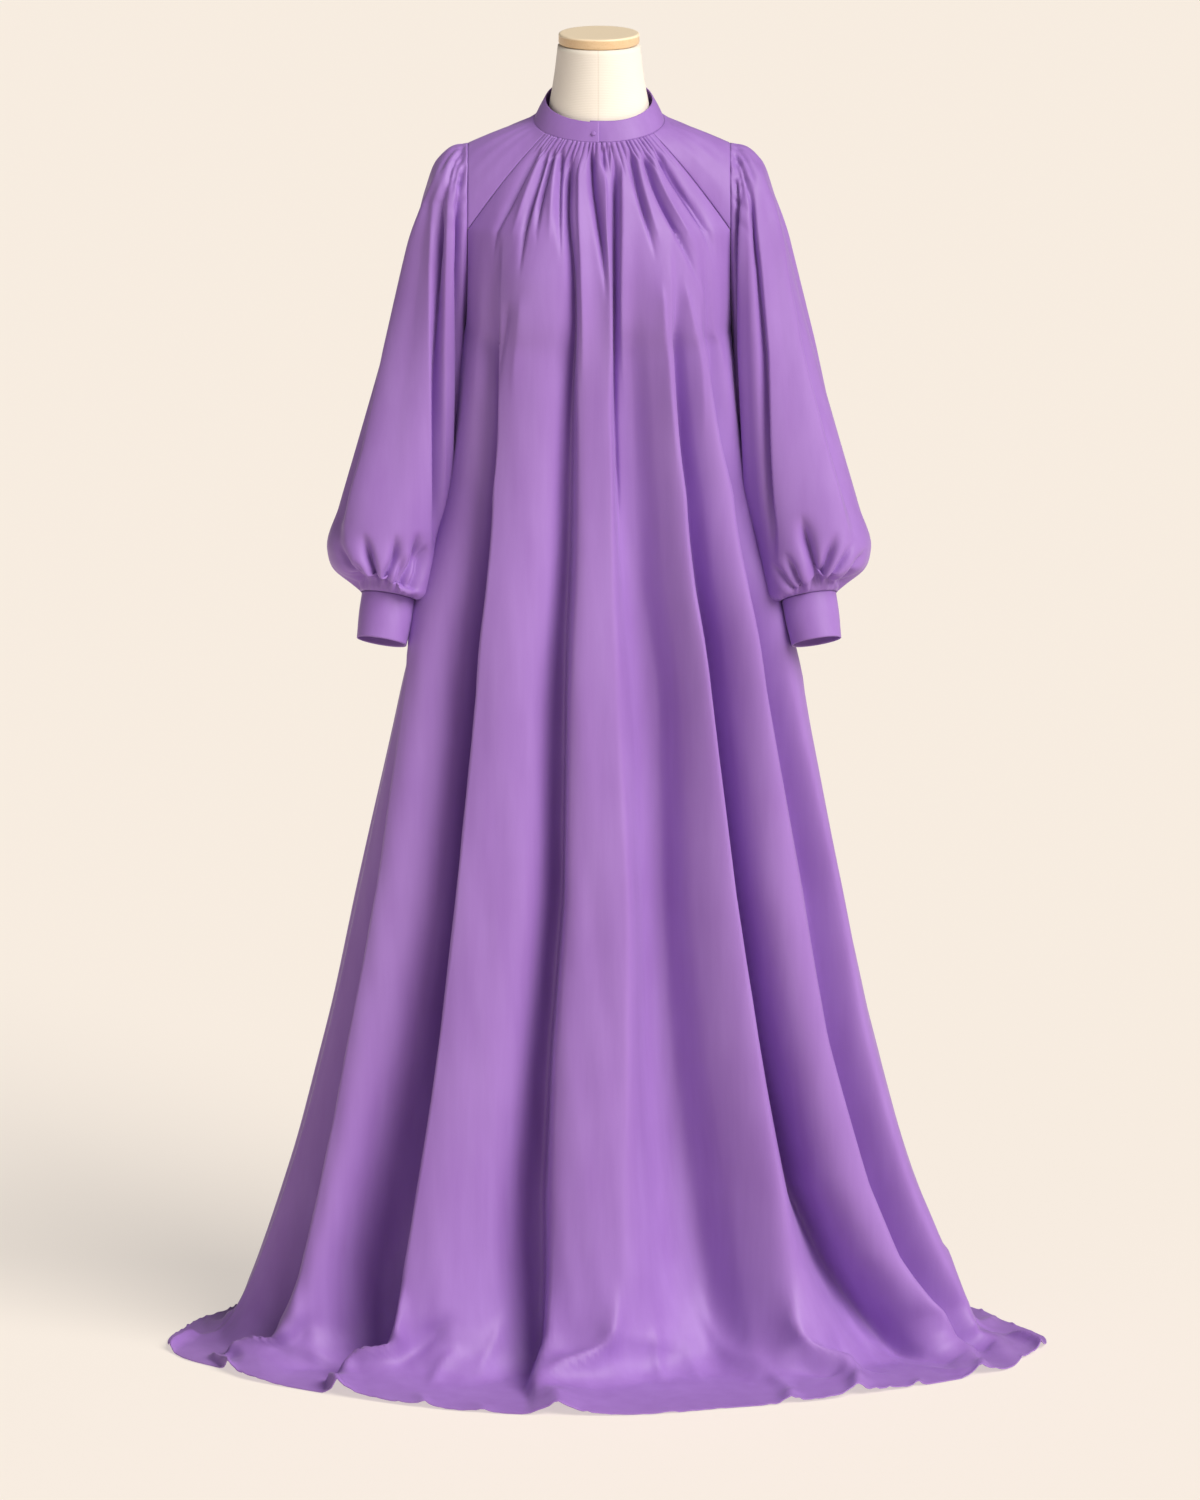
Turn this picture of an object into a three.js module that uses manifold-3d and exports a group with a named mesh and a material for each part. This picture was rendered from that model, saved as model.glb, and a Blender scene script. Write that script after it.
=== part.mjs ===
// A floor-length abaya on a limbless dress form.
//
// Millimetres, +Z up. The origin is on the floor under the form's pole. The front faces -Y,
// and "left" and "right" are as seen from the front, so the right side is at +X.
// Each cloth piece is a thin wall: a grid of points on its outer face, and the same grid moved
// inwards by the cloth's thickness, closed round the edges. Pieces are sewn along shared seam
// curves, and stay SEAM_GAP apart there.

import * as THREE from "three";
import { mergeVertices } from "three/addons/utils/BufferGeometryUtils.js";
import Module from "manifold-3d";

const wasm = await Module();
wasm.setup();

// ---------------------------------------------------------------- driving dimensions

const CLOTH = 2;
const SEAM_GAP = 0.3;

// The hem lies on the floor: the lowest its underside and its upper face reach.
const HEM_UNDERSIDE = 0.2;
const HEM_UPPER = CLOTH + 0.4;

// Collar seam and collar top: rings round the neck, lower at the front.
const NECK_RING = { halfWidth: 80, halfDepth: 65, centreY: -7, sideZ: 1545, frontDrop: 17.5 };
const COLLAR_TOP = { halfWidth: 66, halfDepth: 57, centreY: -5, sideZ: 1571, frontDrop: 20 };
// The collar's under end is tucked in behind its upper end, and eases out over the next 30 degrees.
const COLLAR_LAP = 14;
const COLLAR_LAP_DEPTH = 2.8;
const COLLAR_EASE_ANGLE = 30;
const COLLAR_COLUMNS = 36;

// Armhole: an upright oval in the plane x = ARMHOLE.x.
const ARMHOLE = { x: 161, centreY: 2, centreZ: 1398, halfDepth: 60, halfHeight: 109 };

// The slanting yoke seams leave the collar seam and meet the armhole at these angles.
const YOKE_NECK_ANGLE = 55.6;
const YOKE_ARMHOLE_ANGLE = 80;
const YOKE_SEAM_BOW = 5;
const YOKE_CROWN = 2;
const YOKE_COLUMNS = 10;
// The way the cloth faces along the right-hand front yoke seam.
const YOKE_SEAM_OUTWARD = new THREE.Vector3(0.08, -0.93, 0.36);

// Dress form.
const FORM_TOP = 1636.5;
const CAP = { radius: 49.5, height: 13.2, edge: 2.4, tilt: 2 };
const POLE = { radius: 14, foot: 12.5, top: 837.5 };
const FOOT = { radius: 130, height: 12, edge: 3 };

// Cuffs hang forwards and outwards, so their mouths can be seen from the front.
const CUFF = { length: 57, halfWidthTop: 34, halfWidthMouth: 31, halfDepthTop: 31, halfDepthMouth: 28 };
const CUFF_TOP = new THREE.Vector3(258.5, -60, 960);
const CUFF_FORWARD_TILT = 21;
const CUFF_OUTWARD_TILT = 10;

// The slit below the collar that lets the head through.
const FRONT_SLIT = { width: 0.8, bottomZ: 1420, topZ: 1540, reach: 80 };

const BUTTON = { radius: 2.8, height: 1.8, rim: 0.5, fromLapEdge: 7.3, upCollar: 0.42 };

// ---------------------------------------------------------------- section tables

// Sections of the front and back panels from the neckline down to the hem. The first four run along
// the yoke seam (`seam` from 0 to 1), the next three round the armhole (`armhole`, in degrees from
// its top), and the rest down the side seam (`edge`, its x, y and z). frontY, frontZ, backY and
// backZ are the centre front and centre back. `wrap` is how far round the body a panel reaches,
// in degrees, 90 where none is given. frontFold and backFold are the depths of the skirt folds,
// and `gather` is the depth of the gathers that run down from the collar, or 0.
const BODY_SECTIONS = [
  { seam: 0, frontY: -72, frontZ: 1527.5, backY: 58, backZ: 1562.5, wrap: 55.6 },
  { seam: 0.3, frontY: -80, frontZ: 1499, backY: 72, backZ: 1530, wrap: 57, gather: 4.5 },
  { seam: 0.65, frontY: -97, frontZ: 1462, backY: 82, backZ: 1480, wrap: 58, gather: 6 },
  { seam: 1, frontY: -114, frontZ: 1421, backY: 88, backZ: 1428, wrap: 61, gather: 6 },
  { armhole: 112, frontY: -127, frontZ: 1366, backY: 91, backZ: 1368,
    wrap: 66, frontFold: 1, backFold: 1, gather: 5 },
  { armhole: 146, frontY: -131, frontZ: 1310, backY: 92, backZ: 1310,
    wrap: 74, frontFold: 3, backFold: 3, gather: 4 },
  { armhole: 180, frontY: -128, frontZ: 1275, backY: 92, backZ: 1280,
    wrap: 86, frontFold: 4, backFold: 4, gather: 3 },
  { edge: [163, 0, 1225], frontY: -125, frontZ: 1220, backY: 94, backZ: 1225,
    frontFold: 6, backFold: 5, gather: 2 },
  { edge: [171, -1, 1161], frontY: -124, frontZ: 1158, backY: 97, backZ: 1161,
    frontFold: 8, backFold: 7, gather: 1 },
  { edge: [184, -2, 1060], frontY: -126, frontZ: 1060, backY: 102, backZ: 1060,
    frontFold: 11, backFold: 10 },
  { edge: [196, -3, 985], frontY: -128, frontZ: 985, backY: 106, backZ: 985,
    frontFold: 13, backFold: 12 },
  { edge: [226, -4, 925], frontY: -130, frontZ: 925, backY: 109, backZ: 925,
    frontFold: 15, backFold: 14 },
  { edge: [258, -5, 770], frontY: -136, frontZ: 770, backY: 116, backZ: 770,
    frontFold: 19, backFold: 18 },
  { edge: [296, -6, 590], frontY: -142, frontZ: 590, backY: 123, backZ: 590,
    frontFold: 23, backFold: 22 },
  { edge: [336, -7, 407], frontY: -148, frontZ: 407, backY: 130, backZ: 407,
    frontFold: 26, backFold: 25 },
  { edge: [383, -8, 230], frontY: -155, frontZ: 230, backY: 137, backZ: 230,
    frontFold: 28, backFold: 27 },
  { edge: [418, -9, 126], frontY: -163, frontZ: 126, backY: 144, backZ: 126,
    frontFold: 28, backFold: 27 },
  { edge: [447, -10, 55], frontY: -175, frontZ: 55, backY: 153, backZ: 55, frontFold: 25, backFold: 24 },
  { edge: [470, -11, 14], frontY: -196, frontZ: 14, backY: 168, backZ: 14, frontFold: 17, backFold: 16 },
  { edge: [496, -12, 3], frontY: -245, frontZ: 3, backY: 205, backZ: 3, frontFold: 8, backFold: 8 },
  { edge: [524, -12, 2.4], frontY: -305, frontZ: 2.4, backY: 245, backZ: 2.4, frontFold: 6, backFold: 6 },
  { edge: [550, -12, 2.4], frontY: -365, frontZ: 2.4, backY: 285, backZ: 2.4, frontFold: 7, backFold: 7 },
];

// Folds of the skirt, from one side seam (across -1) to the other (across 1): +1 is the top of a
// fold and -1 the bottom of a furrow.
const FRONT_FOLDS = [
  { name: "left side", across: -0.8, height: 0.1 },
  { name: "first fold", across: -0.65, height: 0.9 },
  { name: "first furrow", across: -0.43, height: -0.9 },
  { name: "second fold", across: -0.365, height: 1 },
  { name: "second fold's slope", across: -0.23, height: 0.2 },
  { name: "second furrow", across: -0.125, height: -1 },
  { name: "third fold", across: -0.08, height: 0.9 },
  { name: "centre panel", across: 0.02, height: 0.5 },
  { name: "wide furrow", across: 0.17, height: -0.9 },
  { name: "fourth fold's slope", across: 0.29, height: 0.5 },
  { name: "fourth fold", across: 0.36, height: 1 },
  { name: "fourth furrow", across: 0.41, height: -1 },
  { name: "fifth fold's slope", across: 0.49, height: 0.4 },
  { name: "fifth fold", across: 0.57, height: 1 },
  { name: "right side", across: 0.74, height: -0.2 },
  { name: "right edge", across: 0.87, height: 0.1 },
];

const BACK_FOLDS = [
  { name: "left side", across: -0.84, height: -0.1 },
  { name: "first fold", across: -0.66, height: 0.9 },
  { name: "first furrow", across: -0.48, height: -0.8 },
  { name: "second fold", across: -0.31, height: 1 },
  { name: "second furrow", across: -0.17, height: -1 },
  { name: "centre fold", across: 0.01, height: 0.8 },
  { name: "third furrow", across: 0.16, height: -0.9 },
  { name: "third fold", across: 0.33, height: 1 },
  { name: "fourth furrow", across: 0.46, height: -0.9 },
  { name: "fourth fold", across: 0.62, height: 0.9 },
  { name: "right side", across: 0.83, height: -0.1 },
];

// Gathers below the collar. Each furrow starts at atNeck on the gathered edge and leans to
// atBust, both as a part of the panel's half width; `width` is its half width at the neck.
const GATHERS = [
  { atNeck: -0.86, atBust: -0.5, width: 0.075 },
  { atNeck: -0.66, atBust: -0.33, width: 0.07 },
  { atNeck: -0.45, atBust: -0.16, width: 0.07 },
  { atNeck: -0.1, atBust: -0.03, width: 0.06 },
  { atNeck: 0.22, atBust: 0.07, width: 0.07 },
  { atNeck: 0.48, atBust: 0.22, width: 0.07 },
  { atNeck: 0.68, atBust: 0.36, width: 0.07 },
  { atNeck: 0.87, atBust: 0.52, width: 0.075 },
];
const BUST_SECTION = 4;

// The widest column of a panel, and how far from its side seams its folds fade out, both as parts
// of its half width.
const WIDEST_COLUMN = 0.07;
const FOLD_FADE = 0.25;

// Breast fullness, a soft swell each side of the centre front.
const BUST = { acrossAt: 0.42, spread: 0.26, heights: [0, 0, 4, 9, 14, 12, 7, 3, 1] };

// Rings of a sleeve from the armhole to the cuff, for the right-hand side: the highest or
// outermost point, the lowest or innermost point, and the ring's middle and half depth in y.
// puff is the depth of the folds round the ring.
const SLEEVE_RINGS = [
  { outerX: 161, outerZ: 1507, innerX: 161, innerZ: 1289, centreY: 2, halfDepth: 60, puff: 0 },
  { outerX: 177, outerZ: 1517, innerX: 166, innerZ: 1279, centreY: 2, halfDepth: 68, puff: 2 },
  { outerX: 198, outerZ: 1497, innerX: 168.5, innerZ: 1262, centreY: 1, halfDepth: 73, puff: 3 },
  { outerX: 213, outerZ: 1458, innerX: 170.5, innerZ: 1240, centreY: -1, halfDepth: 74, puff: 4 },
  { outerX: 226, outerZ: 1404, innerX: 172.5, innerZ: 1213, centreY: -5, halfDepth: 73, puff: 4.5 },
  { outerX: 245, outerZ: 1330, innerX: 177, innerZ: 1170, centreY: -11, halfDepth: 71, puff: 4.5 },
  { outerX: 270, outerZ: 1245, innerX: 187, innerZ: 1115, centreY: -20, halfDepth: 68, puff: 4.5 },
  { outerX: 298, outerZ: 1150, innerX: 198, innerZ: 1060, centreY: -30, halfDepth: 67, puff: 4 },
  { outerX: 321, outerZ: 1070, innerX: 203, innerZ: 1012, centreY: -42, halfDepth: 69, puff: 3 },
  { outerX: 335, outerZ: 1018, innerX: 205, innerZ: 975, centreY: -51, halfDepth: 70, puff: 3 },
  { outerX: 326, outerZ: 994, innerX: 208, innerZ: 958, centreY: -56, halfDepth: 64, puff: 4 },
  { outerX: 305, outerZ: 976, innerX: 217, innerZ: 952, centreY: -59, halfDepth: 49, puff: 3.5 },
];
const SLEEVE_COLUMNS = 24;
const SLEEVE_FOLDS = 8;

// Sections of the dress form: half width, front and back reach, and how square the section is.
const FORM_SECTIONS = [
  { z: 838, halfWidth: 138, frontY: -78, backY: 78, square: 2.2 },
  { z: 846, halfWidth: 150, frontY: -88, backY: 88, square: 2.2 },
  { z: 900, halfWidth: 157, frontY: -96, backY: 94, square: 2.2 },
  { z: 980, halfWidth: 146, frontY: -92, backY: 88, square: 2.2 },
  { z: 1090, halfWidth: 118, frontY: -82, backY: 66, square: 2.1 },
  { z: 1180, halfWidth: 124, frontY: -88, backY: 68, square: 2.1 },
  { z: 1260, halfWidth: 134, frontY: -104, backY: 76, square: 2.1 },
  { z: 1320, halfWidth: 138, frontY: -112, backY: 80, square: 2.2 },
  { z: 1370, halfWidth: 139, frontY: -106, backY: 80, square: 2.3 },
  { z: 1420, halfWidth: 141, frontY: -93, backY: 76, square: 2.3 },
  { z: 1460, halfWidth: 141, frontY: -78, backY: 68, square: 2.3 },
  { z: 1490, halfWidth: 132, frontY: -66, backY: 56, square: 2.2 },
  { z: 1507, halfWidth: 117, frontY: -59, backY: 50, square: 2.1 },
  { z: 1520, halfWidth: 98, frontY: -57, backY: 48, square: 2 },
  { z: 1532, halfWidth: 79, frontY: -57, backY: 47, square: 2 },
  { z: 1545, halfWidth: 67, frontY: -57, backY: 46, square: 2 },
  { z: 1571, halfWidth: 60, frontY: -54, backY: 46, square: 2 },
  { z: 1600, halfWidth: 55, frontY: -52, backY: 48, square: 2 },
  { z: FORM_TOP, halfWidth: 50.5, frontY: -50.5, backY: 50.5, square: 2 },
];
const FORM_COLUMNS = 40;

// ---------------------------------------------------------------- small helpers

const degrees = THREE.MathUtils.degToRad;

function mix(from, to, part) {
  return from + (to - from) * part;
}

// A point on a tilted ring, at an angle from the centre front towards +X.
function ringPoint(ring, angle, inset = 0) {
  const sideways = Math.sin(degrees(angle)) * (ring.halfWidth - inset);
  const forwards = Math.cos(degrees(angle)) * (ring.halfDepth - inset);
  const slope = ring.frontDrop / ring.halfDepth;
  return new THREE.Vector3(sideways, ring.centreY - forwards, ring.sideZ - forwards * slope);
}

// A point on the right-hand armhole, at an angle from its top towards the front.
function armholePoint(angle) {
  const y = ARMHOLE.centreY - Math.sin(degrees(angle)) * ARMHOLE.halfDepth;
  const z = ARMHOLE.centreZ + Math.cos(degrees(angle)) * ARMHOLE.halfHeight;
  return new THREE.Vector3(ARMHOLE.x, y, z);
}

// A point on the right-hand yoke seam; face is -1 for the front seam and 1 for the back seam.
function yokeSeamPoint(face, part) {
  const start = ringPoint(NECK_RING, face < 0 ? YOKE_NECK_ANGLE : 180 - YOKE_NECK_ANGLE);
  const end = armholePoint(-face * YOKE_ARMHOLE_ANGLE);
  const bow = Math.sin(Math.PI * part) * YOKE_SEAM_BOW;
  const point = start.lerp(end, part);
  point.y += face * bow;
  point.z += bow;
  return point;
}

// From a point on a yoke seam into the cloth, the same for both pieces that meet there.
function seamInward(point, face, hand, part) {
  if (part === 1) {
    return armholeInward(point);
  }
  const outward = YOKE_SEAM_OUTWARD;
  return new THREE.Vector3(-hand * outward.x, face * outward.y, -outward.z).normalize();
}

// From a point on the armhole towards its middle.
function armholeInward(point) {
  return new THREE.Vector3(0, ARMHOLE.centreY - point.y, ARMHOLE.centreZ - point.z).normalize();
}

// Height of a row of folds at a place across a panel, eased from each entry to the next.
function foldHeight(folds, across) {
  const stops = [{ across: -1, height: 0 }, ...folds, { across: 1, height: 0 }];
  const next = stops.findIndex((stop) => stop.across >= across);
  if (next <= 0) {
    return 0;
  }
  const before = stops[next - 1];
  const after = stops[next];
  const part = (across - before.across) / (after.across - before.across);
  return mix(before.height, after.height, THREE.MathUtils.smoothstep(part, 0, 1));
}

// Columns of a panel: one at every entry of its fold table, and more where those are far apart.
function panelColumns(folds, widest) {
  const stops = [-1, ...folds.map((fold) => fold.across), 1];
  const columns = [-1];
  for (let i = 1; i < stops.length; i += 1) {
    const count = Math.ceil((stops[i] - stops[i - 1]) / widest);
    for (let k = 1; k <= count; k += 1) {
      columns.push(mix(stops[i - 1], stops[i], k / count));
    }
  }
  return columns;
}

// ---------------------------------------------------------------- cloth walls

// A sheet is a grid of outer points, rows by columns, with one outward normal for each.
function sheetNormals(points, closed, flip) {
  const rows = points.length;
  const columns = points[0].length;
  return points.map((row, i) => row.map((point, j) => {
    const left = closed ? row[(j + columns - 1) % columns] : row[Math.max(j - 1, 0)];
    const right = closed ? row[(j + 1) % columns] : row[Math.min(j + 1, columns - 1)];
    const above = points[Math.max(i - 1, 0)][j];
    const below = points[Math.min(i + 1, rows - 1)][j];
    const across = right.clone().sub(left);
    const down = below.clone().sub(above);
    const normal = down.cross(across).normalize();
    return flip ? normal.negate() : normal;
  }));
}

// Closes a sheet into a wall: outer points, inner points and the faces round its edges.
function wallGeometry(outer, inner, closed) {
  const rows = outer.length;
  const columns = outer[0].length;
  const positions = [...outer.flat(), ...inner.flat()].flatMap((point) => [point.x, point.y, point.z]);
  const innerStart = rows * columns;
  const at = (i, j) => i * columns + (j % columns);
  const index = [];
  const quad = (a, b, c, d) => index.push(a, b, c, a, c, d);
  const spans = closed ? columns : columns - 1;
  for (let i = 0; i < rows - 1; i += 1) {
    for (let j = 0; j < spans; j += 1) {
      quad(at(i, j), at(i + 1, j), at(i + 1, j + 1), at(i, j + 1));
      quad(
        innerStart + at(i, j),
        innerStart + at(i, j + 1),
        innerStart + at(i + 1, j + 1),
        innerStart + at(i + 1, j),
      );
    }
  }
  const last = rows - 1;
  for (let j = 0; j < spans; j += 1) {
    quad(at(0, j), at(0, j + 1), innerStart + at(0, j + 1), innerStart + at(0, j));
    quad(at(last, j + 1), at(last, j), innerStart + at(last, j), innerStart + at(last, j + 1));
  }
  if (!closed) {
    const end = columns - 1;
    for (let i = 0; i < last; i += 1) {
      quad(at(i + 1, 0), at(i, 0), innerStart + at(i, 0), innerStart + at(i + 1, 0));
      quad(at(i, end), at(i + 1, end), innerStart + at(i + 1, end), innerStart + at(i, end));
    }
  }
  const geometry = new THREE.BufferGeometry();
  geometry.setAttribute("position", new THREE.Float32BufferAttribute(positions, 3));
  geometry.setIndex(index);
  return geometry;
}

// Turns a geometry's faces outwards when they face in, which a mirrored piece's do.
function facingOut(geometry) {
  const place = geometry.getAttribute("position");
  const index = Array.from(geometry.index.array);
  const corner = (k) => new THREE.Vector3().fromBufferAttribute(place, index[k]);
  let volume = 0;
  for (let k = 0; k < index.length; k += 3) {
    volume += corner(k).dot(corner(k + 1).cross(corner(k + 2)));
  }
  if (volume < 0) {
    for (let k = 0; k < index.length; k += 3) {
      [index[k + 1], index[k + 2]] = [index[k + 2], index[k + 1]];
    }
    geometry.setIndex(index);
  }
  return geometry;
}

function mirrored(points) {
  return points.map((row) => row.map((point) => new THREE.Vector3(-point.x, point.y, point.z)));
}

// ---------------------------------------------------------------- front and back panels

// The panel's edge in a section, on the right-hand side.
function sectionEdge(section, face) {
  if (section.seam !== undefined) {
    return yokeSeamPoint(face, section.seam);
  }
  if (section.armhole !== undefined) {
    return armholePoint(-face * section.armhole);
  }
  return new THREE.Vector3(...section.edge);
}

// A smooth section point before folds; face is -1 for the front and 1 for the back.
function sectionPoint(section, face, across) {
  const edge = sectionEdge(section, face);
  const middleY = face < 0 ? section.frontY : section.backY;
  const middleZ = face < 0 ? section.frontZ : section.backZ;
  const wrap = degrees(section.wrap ?? 90);
  const round = (Math.cos(wrap * across) - Math.cos(wrap)) / (1 - Math.cos(wrap));
  return new THREE.Vector3(
    (edge.x * Math.sin(wrap * across)) / Math.sin(wrap),
    mix(edge.y, middleY, round),
    mix(edge.z, middleZ, round),
  );
}

// Depth of the collar gathers at a place on a panel.
function gatherDepth(section, row, across) {
  const down = Math.min(row / BUST_SECTION, 1);
  let depth = 0;
  for (const gather of GATHERS) {
    const centre = mix(gather.atNeck, gather.atBust, down);
    const distance = (across - centre) / (gather.width * mix(1, 0.8, down));
    depth -= (section.gather ?? 0) * Math.exp(-distance * distance);
  }
  return depth;
}

function panelOuter(face, folds) {
  const columns = panelColumns(folds, WIDEST_COLUMN);
  const smooth = BODY_SECTIONS.map((section) => columns.map((u) => sectionPoint(section, face, u)));
  const normals = sheetNormals(smooth, false, face > 0);
  return smooth.map((row, i) => row.map((point, j) => {
    const section = BODY_SECTIONS[i];
    const across = columns[j];
    const nearEdge = THREE.MathUtils.smoothstep(1 - Math.abs(across), 0, FOLD_FADE);
    const foldSize = (face < 0 ? section.frontFold : section.backFold) ?? 0;
    let out = foldHeight(folds, across) * foldSize + gatherDepth(section, i, across);
    if (face < 0) {
      const aside = (Math.abs(across) - BUST.acrossAt) / BUST.spread;
      out += (BUST.heights[i] ?? 0) * Math.exp(-aside * aside);
    }
    const moved = point.clone().addScaledVector(normals[i][j], out * nearEdge);
    moved.z = Math.max(moved.z, Math.min(point.z, HEM_UPPER));
    return moved;
  }));
}

// Moves a panel's outer and inner edges back from the seams, and lays its inner face on the floor.
function panelGeometry(face, folds) {
  const outer = panelOuter(face, folds);
  const normals = sheetNormals(outer, false, face > 0);
  const side = outer[0].length - 1;
  const inner = outer.map((row, i) => row.map((point, j) => {
    const section = BODY_SECTIONS[i];
    let inwards = normals[i][j].clone().negate();
    const atEdge = j === 0 || j === side;
    if (atEdge) {
      const hand = j === 0 ? -1 : 1;
      if (section.armhole !== undefined) {
        inwards = armholeInward(point);
      } else if (section.seam !== undefined) {
        inwards = seamInward(point, face, hand, section.seam);
      } else {
        inwards.set(-hand, 0, 0);
      }
    }
    const moved = point.clone().addScaledVector(inwards, CLOTH);
    moved.z = Math.max(moved.z, HEM_UNDERSIDE);
    return moved;
  }));
  const half = SEAM_GAP / 2;
  for (const grid of [outer, inner]) {
    grid.forEach((row, i) => {
      const section = BODY_SECTIONS[i];
      if (section.edge !== undefined || section.armhole === 180) {
        row[0].y += face * half;
        row[side].y += face * half;
      } else if (section.seam !== undefined) {
        row[0].z -= half;
        row[side].z -= half;
        row[0].y -= face * half;
        row[side].y -= face * half;
      }
    });
    grid[0].forEach((point) => {
      point.z -= SEAM_GAP;
    });
  }
  return facingOut(wallGeometry(outer, inner, false));
}

// ---------------------------------------------------------------- front slit

function solidOf(geometry) {
  const bare = geometry.clone();
  bare.deleteAttribute("normal");
  bare.deleteAttribute("uv");
  const merged = mergeVertices(bare, 1e-3);
  return new wasm.Manifold(new wasm.Mesh({
    numProp: 3,
    vertProperties: new Float32Array(merged.getAttribute("position").array),
    triVerts: new Uint32Array(merged.index.array),
  }));
}

function withFrontSlit(geometry) {
  const { width, bottomZ, topZ, reach } = FRONT_SLIT;
  const knife = new THREE.BoxGeometry(width, reach, topZ - bottomZ);
  knife.translate(0, NECK_RING.centreY - NECK_RING.halfDepth - reach / 4, (topZ + bottomZ) / 2);
  const mesh = solidOf(geometry).subtract(solidOf(knife)).getMesh();
  const slit = new THREE.BufferGeometry();
  slit.setAttribute("position", new THREE.Float32BufferAttribute(mesh.vertProperties, 3));
  slit.setIndex(Array.from(mesh.triVerts));
  return slit;
}

// ---------------------------------------------------------------- yokes

// The yoke is a patch between the collar seam, the armhole and the front and back yoke seams.
function yokeOuter() {
  const parts = BODY_SECTIONS.filter((section) => section.seam !== undefined);
  return parts.map(({ seam }) => {
    const row = [];
    for (let k = 0; k <= YOKE_COLUMNS; k += 1) {
      const round = k / YOKE_COLUMNS;
      const neck = ringPoint(NECK_RING, mix(YOKE_NECK_ANGLE, 180 - YOKE_NECK_ANGLE, round));
      const arm = armholePoint(mix(YOKE_ARMHOLE_ANGLE, -YOKE_ARMHOLE_ANGLE, round));
      const crown = Math.sin(Math.PI * seam);
      const point = neck.lerp(arm, seam);
      const overShoulder = Math.sin(Math.PI * round);
      point.z += crown * mix(YOKE_SEAM_BOW, YOKE_CROWN, overShoulder);
      point.y += crown * YOKE_SEAM_BOW * -Math.cos(Math.PI * round);
      row.push(point);
    }
    return row;
  });
}

function yokeGeometry(hand) {
  let outer = yokeOuter();
  const normals = sheetNormals(outer, false, false);
  const lastRow = outer.length - 1;
  const lastColumn = outer[0].length - 1;
  let inner = outer.map((row, i) => row.map((point, j) => {
    let inwards = normals[i][j].clone().negate();
    if (i === lastRow) {
      inwards = armholeInward(point);
    } else if (j === 0 || j === lastColumn) {
      inwards = seamInward(point, j === 0 ? -1 : 1, 1, i / lastRow);
    }
    return point.clone().addScaledVector(inwards, CLOTH);
  }));
  const half = SEAM_GAP / 2;
  for (const grid of [outer, inner]) {
    for (const row of grid) {
      row[0].y += half;
      row[0].z += half;
      row[lastColumn].y -= half;
      row[lastColumn].z += half;
    }
    grid[0].forEach((point) => {
      point.z -= SEAM_GAP;
    });
  }
  if (hand < 0) {
    outer = mirrored(outer);
    inner = mirrored(inner);
  }
  return facingOut(wallGeometry(outer, inner, false));
}

// ---------------------------------------------------------------- sleeves and cuffs

function sleeveOuter() {
  return SLEEVE_RINGS.map((ring) => {
    const row = [];
    const centre = new THREE.Vector3(
      (ring.outerX + ring.innerX) / 2,
      ring.centreY,
      (ring.outerZ + ring.innerZ) / 2,
    );
    const reach = new THREE.Vector3(ring.outerX - centre.x, 0, ring.outerZ - centre.z);
    for (let k = 0; k < SLEEVE_COLUMNS; k += 1) {
      const angle = (k / SLEEVE_COLUMNS) * 2 * Math.PI;
      const awayFromBody = 0.5 + 0.5 * Math.cos(angle * 0.5) ** 2;
      const swell = 1 + (ring.puff * Math.cos(SLEEVE_FOLDS * angle) * awayFromBody) / ring.halfDepth;
      const point = centre.clone().addScaledVector(reach, Math.cos(angle));
      point.y = ring.centreY - Math.sin(angle) * ring.halfDepth * swell;
      row.push(point);
    }
    return row;
  });
}

function sleeveGeometry(hand) {
  let outer = sleeveOuter();
  const normals = sheetNormals(outer, true, true);
  let inner = outer.map((row, i) => row.map((point, j) => {
    const inwards = i === 0 ? armholeInward(point) : normals[i][j].clone().negate();
    return point.clone().addScaledVector(inwards, CLOTH);
  }));
  for (const grid of [outer, inner]) {
    grid[0].forEach((point) => {
      point.x += SEAM_GAP;
    });
  }
  if (hand < 0) {
    outer = mirrored(outer);
    inner = mirrored(inner);
  }
  return facingOut(wallGeometry(outer, inner, true));
}

// The right-hand cuff's own directions: down its length, outwards and forwards.
function cuffFrame() {
  const down = new THREE.Vector3(0, 0, -1);
  down.applyAxisAngle(new THREE.Vector3(1, 0, 0), degrees(-CUFF_FORWARD_TILT));
  down.applyAxisAngle(new THREE.Vector3(0, 1, 0), degrees(-CUFF_OUTWARD_TILT));
  const forwards = new THREE.Vector3(0, -1, 0).projectOnPlane(down).normalize();
  const outwards = forwards.clone().cross(down).normalize();
  return { down, forwards, outwards };
}

function cuffRing(part, inset, columns) {
  const { down, forwards, outwards } = cuffFrame();
  const centre = CUFF_TOP.clone().addScaledVector(down, part * CUFF.length);
  const halfWidth = mix(CUFF.halfWidthTop, CUFF.halfWidthMouth, part) - inset;
  const halfDepth = mix(CUFF.halfDepthTop, CUFF.halfDepthMouth, part) - inset;
  const ring = [];
  for (let k = 0; k < columns; k += 1) {
    const angle = (k / columns) * 2 * Math.PI;
    const point = centre.clone();
    point.addScaledVector(outwards, Math.cos(angle) * halfWidth);
    point.addScaledVector(forwards, Math.sin(angle) * halfDepth);
    ring.push(point);
  }
  return ring;
}

function cuffGeometry(hand) {
  const parts = [0, 1];
  let outer = parts.map((part) => cuffRing(part, 0, SLEEVE_COLUMNS));
  let inner = parts.map((part) => cuffRing(part, CLOTH, SLEEVE_COLUMNS));
  if (hand < 0) {
    outer = mirrored(outer);
    inner = mirrored(inner);
  }
  return facingOut(wallGeometry(outer, inner, true));
}

// ---------------------------------------------------------------- collar and button

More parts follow.
